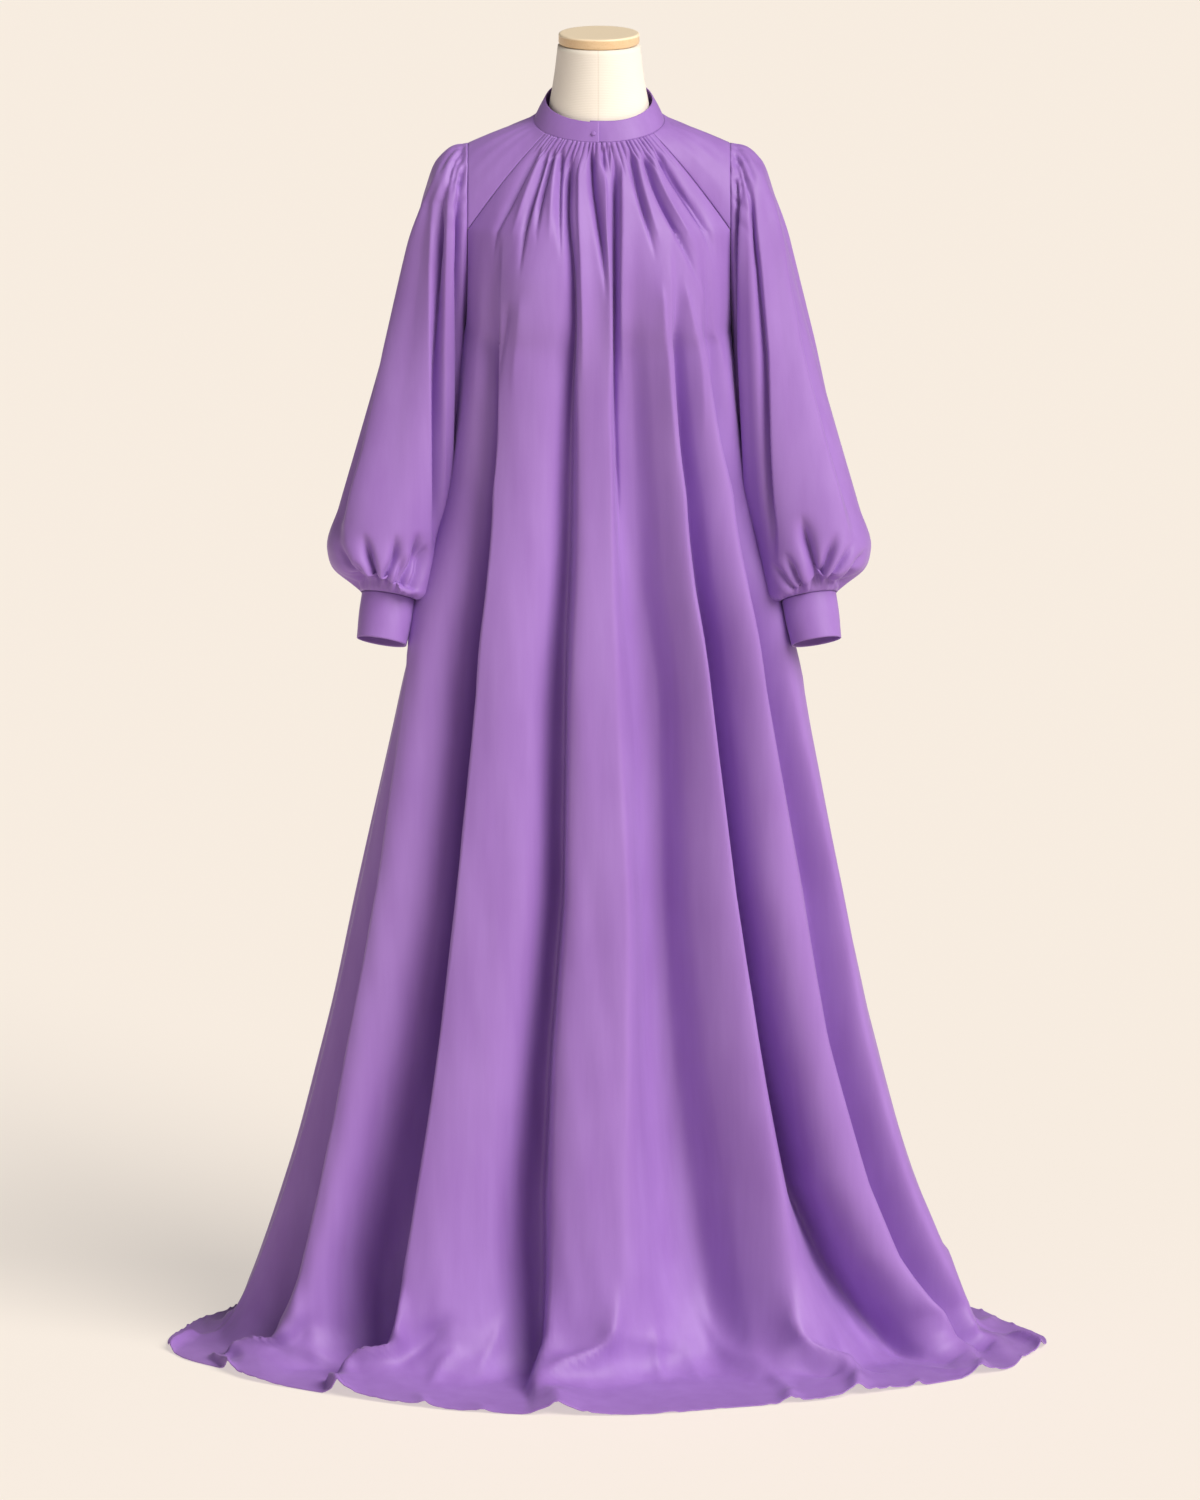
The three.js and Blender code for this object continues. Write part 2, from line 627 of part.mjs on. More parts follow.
// The collar runs once round the neck and laps over its own start at the centre front.
function collarGeometry() {
  const lapAngle = THREE.MathUtils.radToDeg(COLLAR_LAP / NECK_RING.halfWidth);
  const parts = [0, 1];
  const outer = [];
  const inner = [];
  for (const part of parts) {
    const outerRow = [];
    const innerRow = [];
    for (let k = 0; k <= COLLAR_COLUMNS; k += 1) {
      const angle = mix(-lapAngle, 360, k / COLLAR_COLUMNS);
      const tucked = 1 - THREE.MathUtils.smoothstep(angle, 0, COLLAR_EASE_ANGLE);
      const inset = COLLAR_LAP_DEPTH * tucked;
      const place = (more) => {
        const low = ringPoint(NECK_RING, angle, inset + more);
        const high = ringPoint(COLLAR_TOP, angle, inset + more);
        return low.lerp(high, part);
      };
      outerRow.push(place(0));
      innerRow.push(place(CLOTH));
    }
    outer.push(outerRow);
    inner.push(innerRow);
  }
  return facingOut(wallGeometry(outer, inner, false));
}

function buttonMesh(material) {
  const { radius, height, rim, fromLapEdge, upCollar } = BUTTON;
  const profile = [
    new THREE.Vector2(0, 0),
    new THREE.Vector2(radius - rim, 0),
    new THREE.Vector2(radius, rim),
    new THREE.Vector2(radius, height - rim),
    new THREE.Vector2(radius - rim, height),
    new THREE.Vector2(0, height),
  ];
  const mesh = new THREE.Mesh(new THREE.LatheGeometry(profile, 16), material);
  const angle = -THREE.MathUtils.radToDeg(fromLapEdge / NECK_RING.halfWidth);
  const low = ringPoint(NECK_RING, angle);
  const high = ringPoint(COLLAR_TOP, angle);
  const up = high.clone().sub(low).normalize();
  const along = ringPoint(NECK_RING, angle + 1).sub(ringPoint(NECK_RING, angle - 1)).normalize();
  const outwards = along.cross(up).normalize();
  const place = low.lerp(high, upCollar).addScaledVector(outwards, 2 * SEAM_GAP);
  mesh.quaternion.setFromUnitVectors(new THREE.Vector3(0, 1, 0), outwards);
  mesh.position.copy(place);
  return mesh;
}

// ---------------------------------------------------------------- dress form

// One closed solid through the form's sections, with flat ends.
function formGeometry() {
  const positions = [];
  for (const section of FORM_SECTIONS) {
    const middleY = (section.frontY + section.backY) / 2;
    const halfDepth = (section.backY - section.frontY) / 2;
    const power = 2 / section.square;
    for (let k = 0; k < FORM_COLUMNS; k += 1) {
      const angle = (k / FORM_COLUMNS) * 2 * Math.PI;
      const c = Math.cos(angle);
      const s = Math.sin(angle);
      positions.push(
        section.halfWidth * Math.sign(c) * Math.abs(c) ** power,
        middleY + halfDepth * Math.sign(s) * Math.abs(s) ** power,
        section.z,
      );
    }
  }
  const rows = FORM_SECTIONS.length;
  const bottom = rows * FORM_COLUMNS;
  const top = bottom + 1;
  positions.push(0, 0, FORM_SECTIONS[0].z, 0, 0, FORM_SECTIONS[rows - 1].z);
  const index = [];
  for (let k = 0; k < FORM_COLUMNS; k += 1) {
    const next = (k + 1) % FORM_COLUMNS;
    for (let i = 0; i < rows - 1; i += 1) {
      const low = i * FORM_COLUMNS;
      const high = low + FORM_COLUMNS;
      index.push(low + k, low + next, high + next, low + k, high + next, high + k);
    }
    const last = (rows - 1) * FORM_COLUMNS;
    index.push(bottom, next, k, top, last + k, last + next);
  }
  const geometry = new THREE.BufferGeometry();
  geometry.setAttribute("position", new THREE.Float32BufferAttribute(positions, 3));
  geometry.setIndex(index);
  return facingOut(geometry);
}

// A round disc with softened edges, standing on z = 0.
function discMesh(radius, height, edge, material) {
  const profile = [
    new THREE.Vector2(0, 0),
    new THREE.Vector2(radius - edge, 0),
    new THREE.Vector2(radius - edge * 0.3, edge * 0.3),
    new THREE.Vector2(radius, edge),
    new THREE.Vector2(radius, height - edge),
    new THREE.Vector2(radius - edge * 0.3, height - edge * 0.3),
    new THREE.Vector2(radius - edge, height),
    new THREE.Vector2(0, height),
  ];
  const mesh = new THREE.Mesh(new THREE.LatheGeometry(profile, 48), material);
  mesh.rotation.x = Math.PI / 2;
  return mesh;
}

// ---------------------------------------------------------------- the whole object

function material(name, color, roughness, metalness = 0) {
  return new THREE.MeshStandardMaterial({ name, color, roughness, metalness });
}

const crepe = () => material("crepe", "#a57ac4", 0.6);
const fabric = material("form cloth", "#f3e8d8", 0.9);
const wood = material("beech", "#e6c394", 0.5);
const steel = material("painted steel", "#d9d6d0", 0.4, 0.6);

const abaya = new THREE.Group();

function add(name, geometry, finish) {
  const mesh = new THREE.Mesh(geometry, finish);
  mesh.name = name;
  abaya.add(mesh);
}

function addMesh(name, mesh) {
  mesh.name = name;
  abaya.add(mesh);
}

add("front_panel", withFrontSlit(panelGeometry(-1, FRONT_FOLDS)), crepe());
add("back_panel", panelGeometry(1, BACK_FOLDS), crepe());
for (const [side, hand] of [["left", -1], ["right", 1]]) {
  add(`yoke_${side}`, yokeGeometry(hand), crepe());
  add(`sleeve_${side}`, sleeveGeometry(hand), crepe());
  add(`cuff_${side}`, cuffGeometry(hand), crepe());
}
add("collar", collarGeometry(), crepe());
addMesh("collar_button", buttonMesh(crepe()));
add("form_body", formGeometry(), fabric);

const cap = discMesh(CAP.radius, CAP.height, CAP.edge, wood);
cap.rotation.x += degrees(CAP.tilt);
cap.position.z = FORM_TOP + SEAM_GAP + Math.sin(degrees(CAP.tilt)) * CAP.radius;
addMesh("form_neck_cap", cap);

const poleHeight = POLE.top - POLE.foot;
const pole = new THREE.Mesh(new THREE.CylinderGeometry(POLE.radius, POLE.radius, poleHeight, 32), steel);
pole.rotation.x = Math.PI / 2;
pole.position.z = POLE.foot + poleHeight / 2;
addMesh("form_pole", pole);
addMesh("form_foot", discMesh(FOOT.radius, FOOT.height, FOOT.edge, steel));

export default abaya;
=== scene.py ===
import math

import bpy
import numpy as np
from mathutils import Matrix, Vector


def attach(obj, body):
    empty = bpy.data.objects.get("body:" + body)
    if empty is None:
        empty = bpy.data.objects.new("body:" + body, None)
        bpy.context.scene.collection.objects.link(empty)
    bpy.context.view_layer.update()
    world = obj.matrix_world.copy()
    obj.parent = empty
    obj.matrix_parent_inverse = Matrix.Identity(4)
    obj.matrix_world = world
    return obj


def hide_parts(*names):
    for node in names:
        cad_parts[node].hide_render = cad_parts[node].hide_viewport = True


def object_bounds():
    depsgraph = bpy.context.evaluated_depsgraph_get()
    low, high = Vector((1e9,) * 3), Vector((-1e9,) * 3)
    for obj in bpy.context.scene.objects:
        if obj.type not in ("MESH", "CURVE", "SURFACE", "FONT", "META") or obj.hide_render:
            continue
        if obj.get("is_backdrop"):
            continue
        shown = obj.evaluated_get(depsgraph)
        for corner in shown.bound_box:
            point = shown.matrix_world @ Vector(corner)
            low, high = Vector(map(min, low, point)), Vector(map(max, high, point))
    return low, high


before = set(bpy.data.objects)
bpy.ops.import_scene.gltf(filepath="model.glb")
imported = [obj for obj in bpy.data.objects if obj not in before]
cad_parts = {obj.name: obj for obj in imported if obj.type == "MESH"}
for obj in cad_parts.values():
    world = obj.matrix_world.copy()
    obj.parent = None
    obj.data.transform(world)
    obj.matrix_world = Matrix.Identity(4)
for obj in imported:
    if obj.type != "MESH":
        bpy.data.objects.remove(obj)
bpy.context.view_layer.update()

# ---- Studio. A cream paper floor that runs far behind the object, a broad soft lamp high on the
# right, a weaker one on the left, and a pale surround that fills the shadows.

CAMERA_PLACE = (0.0012, -12.0, 3.422)
CAMERA_PITCH = 12.5387
CAMERA_LENS = 237.48
PAPER_WIDTH = 160.0
LAMPS = [
    # name, the way it shines from, strength, how broad it looks in degrees, colour
    ("key lamp", (3.2, -2.7, 3.6), 3.7, 38, "#fffaf3"),
    ("fill lamp", (-2.2, -4.6, 1.6), 0.27, 70, "#fffaf5"),
]
SURROUND = "#fbf7f3"
SURROUND_STRENGTH = 0.14


def linear(colour):
    """The linear red, green, blue and alpha of an sRGB hex colour."""
    parts = [int(colour[k:k + 2], 16) / 255 for k in (1, 3, 5)]
    return [p / 12.92 if p <= 0.04045 else ((p + 0.055) / 1.055) ** 2.4 for p in parts] + [1.0]


def add_node(tree, kind, inputs=None, **settings):
    """Adds a node. Inputs are values or other nodes' outputs, by the socket's name or number."""
    made = tree.nodes.new(kind)
    for name, value in settings.items():
        setattr(made, name, value)
    for name, value in (inputs or {}).items():
        if isinstance(value, bpy.types.NodeSocket):
            tree.links.new(value, made.inputs[name])
        else:
            made.inputs[name].default_value = value
    return made


def start_material(name, colour, finish):
    """A material and its shader, with the finish set on the shader's own sockets."""
    material = bpy.data.materials.new(name)
    material.use_nodes = True
    shader = material.node_tree.nodes["Principled BSDF"]
    shader.inputs["Base Color"].default_value = linear(colour)
    for socket, value in finish.items():
        shader.inputs[socket].default_value = value
    return material, shader


# Matt backdrop paper: no gloss, and so fine a tooth that it shows only as an even surface. Lamps of
# its own light it evenly, which is drawn as a low glow that keeps its shadows faint.
PAPER_GLOW = 0.57
paper, _ = start_material("matt backdrop paper", "#a8a199", {
    "Roughness": 0.95, "Specular IOR Level": 0.1,
    "Emission Color": linear("#fff6ec"), "Emission Strength": PAPER_GLOW,
})
half = PAPER_WIDTH / 2
floor_mesh = bpy.data.meshes.new("floor")
floor_corners = [(-half, -half, 0), (half, -half, 0), (half, half, 0), (-half, half, 0)]
floor_mesh.from_pydata(floor_corners, [], [(0, 1, 2, 3)])
floor_mesh.materials.append(paper)
floor = bpy.data.objects.new("floor", floor_mesh)
bpy.context.scene.collection.objects.link(floor)
floor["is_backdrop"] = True

for lamp_name, shines_from, strength, broad, colour in LAMPS:
    sun = bpy.data.lights.new(lamp_name, "SUN")
    sun.energy = strength
    sun.angle = math.radians(broad)
    sun.color = linear(colour)[:3]
    lamp = bpy.data.objects.new(lamp_name, sun)
    lamp.rotation_euler = Vector(shines_from).to_track_quat("Z", "Y").to_euler()
    bpy.context.scene.collection.objects.link(lamp)

surround = bpy.data.worlds.new("surround")
surround.use_nodes = True
surround.node_tree.nodes["Background"].inputs["Color"].default_value = linear(SURROUND)
surround.node_tree.nodes["Background"].inputs["Strength"].default_value = SURROUND_STRENGTH
bpy.context.scene.world = surround
bpy.context.scene.view_settings.view_transform = "Standard"

camera = bpy.data.objects.new("camera", bpy.data.cameras.new("camera"))
camera.data.lens = CAMERA_LENS
camera.data.sensor_width = 36
camera.data.clip_end = 2 * PAPER_WIDTH
camera.location = CAMERA_PLACE
camera.rotation_euler = (math.radians(90 - CAMERA_PITCH), 0, 0)
bpy.context.scene.collection.objects.link(camera)
bpy.context.scene.camera = camera

# ---- Dress form. A limbless bust of hard foam under a tight cotton jersey cover, whose one seam runs
# down the front of the neck. It carries the garment on its neck, shoulders and breast.

MM = 0.001
FORM = {
    "height": [838, 846, 900, 980, 1090, 1180, 1260, 1320, 1370, 1420, 1460, 1490, 1507, 1520, 1532,
               1545, 1571, 1600, 1636.5],
    "half_width": [138, 150, 157, 146, 118, 124, 134, 138, 139, 141, 141, 132, 117, 98, 79,
                   67, 60, 55, 50.5],
    "front": [-78, -88, -96, -92, -82, -88, -104, -112, -106, -93, -78, -66, -59, -57, -57,
              -57, -54, -52, -50.5],
    "back": [78, 88, 94, 88, 66, 68, 76, 80, 80, 76, 68, 56, 50, 48, 47, 46, 46, 48, 50.5],
    "square": [2.2, 2.2, 2.2, 2.2, 2.1, 2.1, 2.1, 2.2, 2.3, 2.3, 2.3, 2.2, 2.1, 2, 2, 2, 2, 2, 2],
}
FORM_ROWS = 150
FORM_COLUMNS = 128
FORM_SEAM_X = -1.2


def smooth(at, stops, values, settled=False):
    """Values on a smooth curve through the stops. A settled one levels off where it turns."""
    at = np.asarray(at, float)
    stops = np.asarray(stops, float)
    values = np.asarray(values, float)
    gaps = np.diff(stops)
    wide = gaps.reshape((-1,) + (1,) * (values.ndim - 1))
    slopes = np.diff(values, axis=0) / wide
    before, after = slopes[:-1], slopes[1:]
    inner = (before * wide[1:] + after * wide[:-1]) / (wide[1:] + wide[:-1])
    if settled:
        limit = 3 * np.minimum(abs(before), abs(after))
        inner = np.where(before * after > 0, np.clip(inner, -limit, limit), 0)
    tangents = np.concatenate([slopes[:1], inner, slopes[-1:]])
    k = np.clip(np.searchsorted(stops, at, side="right") - 1, 0, len(gaps) - 1)
    t = np.clip((at - stops[k]) / gaps[k], 0, 1).reshape(at.shape + (1,) * (values.ndim - 1))
    gap = gaps[k].reshape(t.shape)
    return (
        values[k] * (1 + 2 * t) * (1 - t) ** 2
        + tangents[k] * gap * t * (1 - t) ** 2
        + values[k + 1] * t * t * (3 - 2 * t)
        + tangents[k + 1] * gap * t * t * (t - 1)
    )


def solid_of_rings(rings):
    """Points and faces of a solid through closed rings, from its lowest ring to its highest."""
    rows, columns, _ = rings.shape
    middles = [rings[0].mean(axis=0)[None], rings[-1].mean(axis=0)[None]]
    points = np.concatenate([rings.reshape(-1, 3), *middles])
    bottom, top = rows * columns, rows * columns + 1
    faces = []
    for j in range(columns):
        k = (j + 1) % columns
        faces += [(i * columns + j, i * columns + k, (i + 1) * columns + k, (i + 1) * columns + j)
                  for i in range(rows - 1)]
        faces += [(bottom, k, j), (top, (rows - 1) * columns + j, (rows - 1) * columns + k)]
    return points, faces


def new_piece(name, points, faces, material, slot):
    """A smooth piece from points in millimetres, fixed to the object's one body."""
    mesh = bpy.data.meshes.new(name)
    mesh.from_pydata((np.asarray(points) * MM).tolist(), [], faces)
    mesh.polygons.foreach_set("use_smooth", [True] * len(mesh.polygons))
    mesh.materials.append(material)
    piece = bpy.data.objects.new(name, mesh)
    bpy.context.scene.collection.objects.link(piece)
    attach(piece, "root")
    return piece


# Cotton jersey, knitted: matt, with a fuzz that lightens its edges. Its stitches are 0.5 mm wide,
# too fine to show, and are drawn 2 mm wide. Its shade drifts a little over 56 mm.
DRAWN_STITCH = 2
# At a scale of 1 the wave texture turns through 20 radians to a metre.
WAVE_RADIANS = 20
JERSEY_DRIFT = 55.6
FORM_SEAM_EDGES = (0.4, 1.4)
jersey, jersey_shader = start_material("cotton jersey", "#f1e6d6", {
    "Roughness": 0.85, "Specular IOR Level": 0.2, "Sheen Weight": 0.25, "Sheen Roughness": 0.6,
})
tree = jersey.node_tree
place = add_node(tree, "ShaderNodeTexCoord").outputs["Object"]
stitch_scale = 2 * math.pi / (DRAWN_STITCH * MM) / WAVE_RADIANS
stitch_rows = add_node(tree, "ShaderNodeTexWave", {"Vector": place, "Scale": stitch_scale,
                                                   "Distortion": 1.5, "Detail": 1.0, "Detail Scale": 3.0},
                       bands_direction="Z")
mottle = add_node(tree, "ShaderNodeTexNoise", {"Vector": place, "Scale": 1 / (JERSEY_DRIFT * MM),
                                               "Detail": 3.0})
away = add_node(tree, "ShaderNodeSeparateXYZ", {"Vector": place})
from_seam = add_node(tree, "ShaderNodeMath", {0: away.outputs["X"], 1: -FORM_SEAM_X * MM}, operation="ADD")
from_seam = add_node(tree, "ShaderNodeMath", {0: from_seam.outputs[0]}, operation="ABSOLUTE")
seam_line = add_node(tree, "ShaderNodeMapRange", {"Value": from_seam.outputs[0],
                                                  "From Min": FORM_SEAM_EDGES[0] * MM,
                                                  "From Max": FORM_SEAM_EDGES[1] * MM,
                                                  "To Min": 1.0, "To Max": 0.0})
tint = add_node(tree, "ShaderNodeMix", {0: mottle.outputs["Fac"], 6: linear("#efe6d9"),
                                        7: linear("#f5ede2")}, data_type="RGBA")
shade = add_node(tree, "ShaderNodeMath", {0: seam_line.outputs[0], 1: 0.22}, operation="MULTIPLY")
seamed = add_node(tree, "ShaderNodeMix", {0: shade.outputs[0], 6: tint.outputs[2], 7: linear("#cdbda8")},
                  data_type="RGBA")
tree.links.new(seamed.outputs[2], jersey_shader.inputs["Base Color"])
relief = add_node(tree, "ShaderNodeMath", {0: stitch_rows.outputs["Fac"], 1: seam_line.outputs[0]},
                  operation="SUBTRACT")
bump = add_node(tree, "ShaderNodeBump", {"Height": relief.outputs[0], "Strength": 0.25, "Distance": 0.0004})
tree.links.new(bump.outputs["Normal"], jersey_shader.inputs["Normal"])

heights = np.linspace(FORM["height"][0], FORM["height"][-1], FORM_ROWS)
turn = np.linspace(0, 2 * np.pi, FORM_COLUMNS, endpoint=False)
power = 2 / smooth(heights, FORM["height"], FORM["square"])[:, None]
front = smooth(heights, FORM["height"], FORM["front"])[:, None]
back = smooth(heights, FORM["height"], FORM["back"])[:, None]
wide = smooth(heights, FORM["height"], FORM["half_width"])[:, None]
form_rings = np.stack([
    wide * np.sign(np.cos(turn)) * abs(np.cos(turn)) ** power,
    (front + back) / 2 + (back - front) / 2 * np.sign(np.sin(turn)) * abs(np.sin(turn)) ** power,
    np.repeat(heights[:, None], FORM_COLUMNS, axis=1),
], axis=-1)
form = new_piece("dress_form_cover", *solid_of_rings(form_rings), jersey, "form_cloth")
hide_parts("form_body")

# ---- Neck cap. A turned disc of beech with rounded edges that closes the top of the form's neck.
# It tilts 2 degrees forward with the neck.

CAP_RADIUS = 49.5
CAP_HEIGHT = 13.2
CAP_EDGE = 2.6
CAP_TILT = 2
CAP_GAP = 0.3
CAP_BOTTOM = FORM["height"][-1] + CAP_GAP + math.sin(math.radians(CAP_TILT)) * CAP_RADIUS
CAP_COLUMNS = 128
CAP_EDGE_RINGS = 7
CAP_FACE_RINGS = (0.9, 0.6, 0.3)

# Beech, turned and sealed with satin lacquer: pale warm brown, faint long grain 3 mm wide, and the
# short dark flecks of the wood's rays. The lacquer gives its rounded edge a soft highlight. The sizes
# of grain and flecks are along x, y and z.
GRAIN = (45.5, 3.03, 3.03)
RAY_FLECK = (3.85, 2 / 3, 2 / 3)
# The heights, in metres, between which the top's painted light, a paler colour for the light from above,
# takes over from the side's.
CAP_TOP_LIGHT_HEIGHTS = {"From Min": 1.6475, "From Max": 1.6495}
beech, beech_shader = start_material("lacquered beech", "#e4c194", {
    "Roughness": 0.42, "Coat Weight": 0.2, "Coat Roughness": 0.3,
})
tree = beech.node_tree
place = add_node(tree, "ShaderNodeTexCoord").outputs["Object"]
along_grain = add_node(tree, "ShaderNodeMapping", {"Vector": place,
                                                   "Scale": [1 / (size * MM) for size in GRAIN]})
grain = add_node(tree, "ShaderNodeTexNoise", {"Vector": along_grain.outputs[0], "Scale": 1.0, "Detail": 5.0,
                                              "Roughness": 0.6})
fleck_place = add_node(tree, "ShaderNodeMapping", {"Vector": place,
                                                   "Scale": [1 / (size * MM) for size in RAY_FLECK]})
flecks = add_node(tree, "ShaderNodeTexNoise", {"Vector": fleck_place.outputs[0], "Scale": 1.0,
                                               "Detail": 1.0})
fleck = add_node(tree, "ShaderNodeMapRange", {"Value": flecks.outputs["Fac"], "From Min": 0.62,
                                              "From Max": 0.72, "To Min": 0.0, "To Max": 0.5})
wood = add_node(tree, "ShaderNodeMix", {0: grain.outputs["Fac"], 6: linear("#dcb586"),
                                        7: linear("#eccfa6")}, data_type="RGBA")
flecked = add_node(tree, "ShaderNodeMix", {0: fleck.outputs[0], 6: wood.outputs[2], 7: linear("#c49a69")},
                   data_type="RGBA")
height = add_node(tree, "ShaderNodeSeparateXYZ", {"Vector": place})
# Painted light: the top face is drawn paler than the side, for the light that falls on it from above.
top_light_share = add_node(tree, "ShaderNodeMapRange", {"Value": height.outputs["Z"], **CAP_TOP_LIGHT_HEIGHTS})
top_lit_wood = add_node(tree, "ShaderNodeMix", {0: top_light_share.outputs[0], 6: flecked.outputs[2],
                                          7: linear("#fdeacb")}, data_type="RGBA")
tree.links.new(top_lit_wood.outputs[2], beech_shader.inputs["Base Color"])
bump = add_node(tree, "ShaderNodeBump", {"Height": grain.outputs["Fac"], "Strength": 0.1,
                                         "Distance": 0.0003})
tree.links.new(bump.outputs["Normal"], beech_shader.inputs["Normal"])

corner = np.linspace(0, np.pi / 2, CAP_EDGE_RINGS)
inner_radius = CAP_RADIUS - CAP_EDGE
inner_height = CAP_HEIGHT - CAP_EDGE
profile = [(inner_radius, 0.0)]
profile += [(inner_radius + CAP_EDGE * math.sin(c), CAP_EDGE * (1 - math.cos(c))) for c in corner]
profile += [(inner_radius + CAP_EDGE * math.cos(c), inner_height + CAP_EDGE * math.sin(c)) for c in corner]
profile += [(CAP_RADIUS * part, CAP_HEIGHT) for part in CAP_FACE_RINGS]
turn = np.linspace(0, 2 * np.pi, CAP_COLUMNS, endpoint=False)
lean = math.radians(CAP_TILT)
cap_rings = np.array([
    np.stack([
        radius * np.cos(turn),
        radius * np.sin(turn) * math.cos(lean) - height * math.sin(lean),
        CAP_BOTTOM + height * math.cos(lean) + radius * np.sin(turn) * math.sin(lean),
    ], axis=-1)
    for radius, height in profile
])
cap = new_piece("neck_cap", *solid_of_rings(cap_rings), beech, "beech")
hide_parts("form_neck_cap")

# ---- Stand. A steel pole and a round foot plate, powder painted. The pole is screwed to the plate
# and goes up into the form, and the skirt hides both.

# Powder-painted steel: off-white, smooth, with a soft even gloss and a faint orange-peel bump, 2.4 mm
# from one swelling to the next.
ORANGE_PEEL = 2.38
paint, paint_shader = start_material("powder paint", "#d9d6d0", {"Roughness": 0.38})
tree = paint.node_tree
place = add_node(tree, "ShaderNodeTexCoord").outputs["Object"]
peel = add_node(tree, "ShaderNodeTexNoise", {"Vector": place, "Scale": 1 / (ORANGE_PEEL * MM),
                                             "Detail": 1.0})
bump = add_node(tree, "ShaderNodeBump", {"Height": peel.outputs["Fac"], "Strength": 0.08,
                                         "Distance": 0.0003})
tree.links.new(bump.outputs["Normal"], paint_shader.inputs["Normal"])
for node_name in ("form_pole", "form_foot"):
    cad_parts[node_name].data.materials.clear()
    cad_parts[node_name].data.materials.append(paint)

# ---- Yokes. Two smooth shoulder pieces of lilac crepe, from the collar seam to the armhole, plain
# but for a few soft drags near the shoulder. The gathered panels are sewn to their slanting edges.

CLOTH = 1.2
LOWEST_CLOTH = 0.2
SEAM_DIP = 0.6
SEAM_REACH = 1.3
NECK_RING = {"half_width": 80, "half_depth": 65, "centre_y": -7, "side_z": 1545, "front_drop": 17.5}
ARMHOLE = {"x": 161, "centre_y": 2, "centre_z": 1402, "half_depth": 60, "half_height": 113}
YOKE_NECK_ANGLE = 55.6
YOKE_ARMHOLE_ANGLE = 82.4
YOKE_SEAM_BOW = 5
YOKE_CROWN = 2
YOKE_LENGTHS = {"front to back": 190, "neck to armhole": 110}
YOKE_SMOOTH_EDGE = 12
YOKE_ROWS = 60
YOKE_COLUMNS = 110
YOKE_DRAGS = [
    # where it starts and ends across the shoulder from front (0) to back (1), height, half width
    (0.40, 0.34, 1.3, 0.045),
    (0.31, 0.22, 1.0, 0.04),
    (0.47, 0.46, 0.8, 0.035),
    (0.20, 0.12, 0.7, 0.05),
    (0.66, 0.72, 1.1, 0.05),
    (0.80, 0.88, 0.8, 0.05),
]


def ring_point(ring, angle, inset=0.0):
    """Points on a tilted ring round the neck, at angles from the centre front towards the right."""
    turn = np.radians(angle)
    sideways = np.sin(turn) * (ring["half_width"] - inset)
    forwards = np.cos(turn) * (ring["half_depth"] - inset)
    drop = forwards * ring["front_drop"] / ring["half_depth"]
    return np.stack([sideways, ring["centre_y"] - forwards, ring["side_z"] - drop], axis=-1)


def armhole_point(angle):
    """Points on the right-hand armhole, at angles from its top towards the front."""
    turn = np.radians(angle)
    return np.stack([
        np.full(np.shape(turn), float(ARMHOLE["x"])),
        ARMHOLE["centre_y"] - np.sin(turn) * ARMHOLE["half_depth"],
        ARMHOLE["centre_z"] + np.cos(turn) * ARMHOLE["half_height"],
    ], axis=-1)


def yoke_seam_point(face, part):
    """Points along the right-hand yoke seam; face is -1 for the front seam and 1 for the back one."""
    part = np.asarray(part, float)
    start = ring_point(NECK_RING, YOKE_NECK_ANGLE if face < 0 else 180 - YOKE_NECK_ANGLE)
    end = armhole_point(-face * YOKE_ARMHOLE_ANGLE)
    bow = np.sin(np.pi * part) * YOKE_SEAM_BOW
    point = start + (end - start) * part[..., None]
    point[..., 1] += face * bow
    point[..., 2] += bow
    return point


def unit(vectors):
    """The same vectors with a length of 1."""
    return vectors / (np.linalg.norm(vectors, axis=-1, keepdims=True) + 1e-9)


def outward(grid, closed, flip):
    """The way each point of a sheet faces."""
    if closed:
        across = np.roll(grid, -1, axis=1) - np.roll(grid, 1, axis=1)
    else:
        across = np.gradient(grid, axis=1)
    facing = unit(np.cross(np.gradient(grid, axis=0), across))
    return -facing if flip else facing


def cloth_wall(outer, closed, flip):
    """Points and faces of a wall of cloth behind a sheet of outer points, closed round its edges."""
    rows, columns, _ = outer.shape
    inner = outer - outward(outer, closed, flip) * CLOTH
    inner[..., 2] = np.maximum(inner[..., 2], LOWEST_CLOTH)
    count = rows * columns
    grid = np.arange(count).reshape(rows, columns)
    if closed:
        grid = np.concatenate([grid, grid[:, :1]], axis=1)
    a, b, c, d = (part.ravel() for part in (grid[:-1, :-1], grid[1:, :-1], grid[1:, 1:], grid[:-1, 1:]))
    faces = [np.stack([a, b, c, d], 1), np.stack([a, d, c, b], 1) + count]
    top, bottom = grid[0], grid[-1]
    faces.append(np.stack([top[:-1], top[1:], top[1:] + count, top[:-1] + count], 1))
    faces.append(np.stack([bottom[1:], bottom[:-1], bottom[:-1] + count, bottom[1:] + count], 1))
    if not closed:
        left, right = grid[:, 0], grid[:, -1]
        faces.append(np.stack([left[1:], left[:-1], left[:-1] + count, left[1:] + count], 1))
        faces.append(np.stack([right[:-1], right[1:], right[1:] + count, right[:-1] + count], 1))
    faces = np.concatenate(faces)
    if flip:
        faces = faces[:, ::-1]
    return np.concatenate([outer.reshape(-1, 3), inner.reshape(-1, 3)]), faces.tolist()


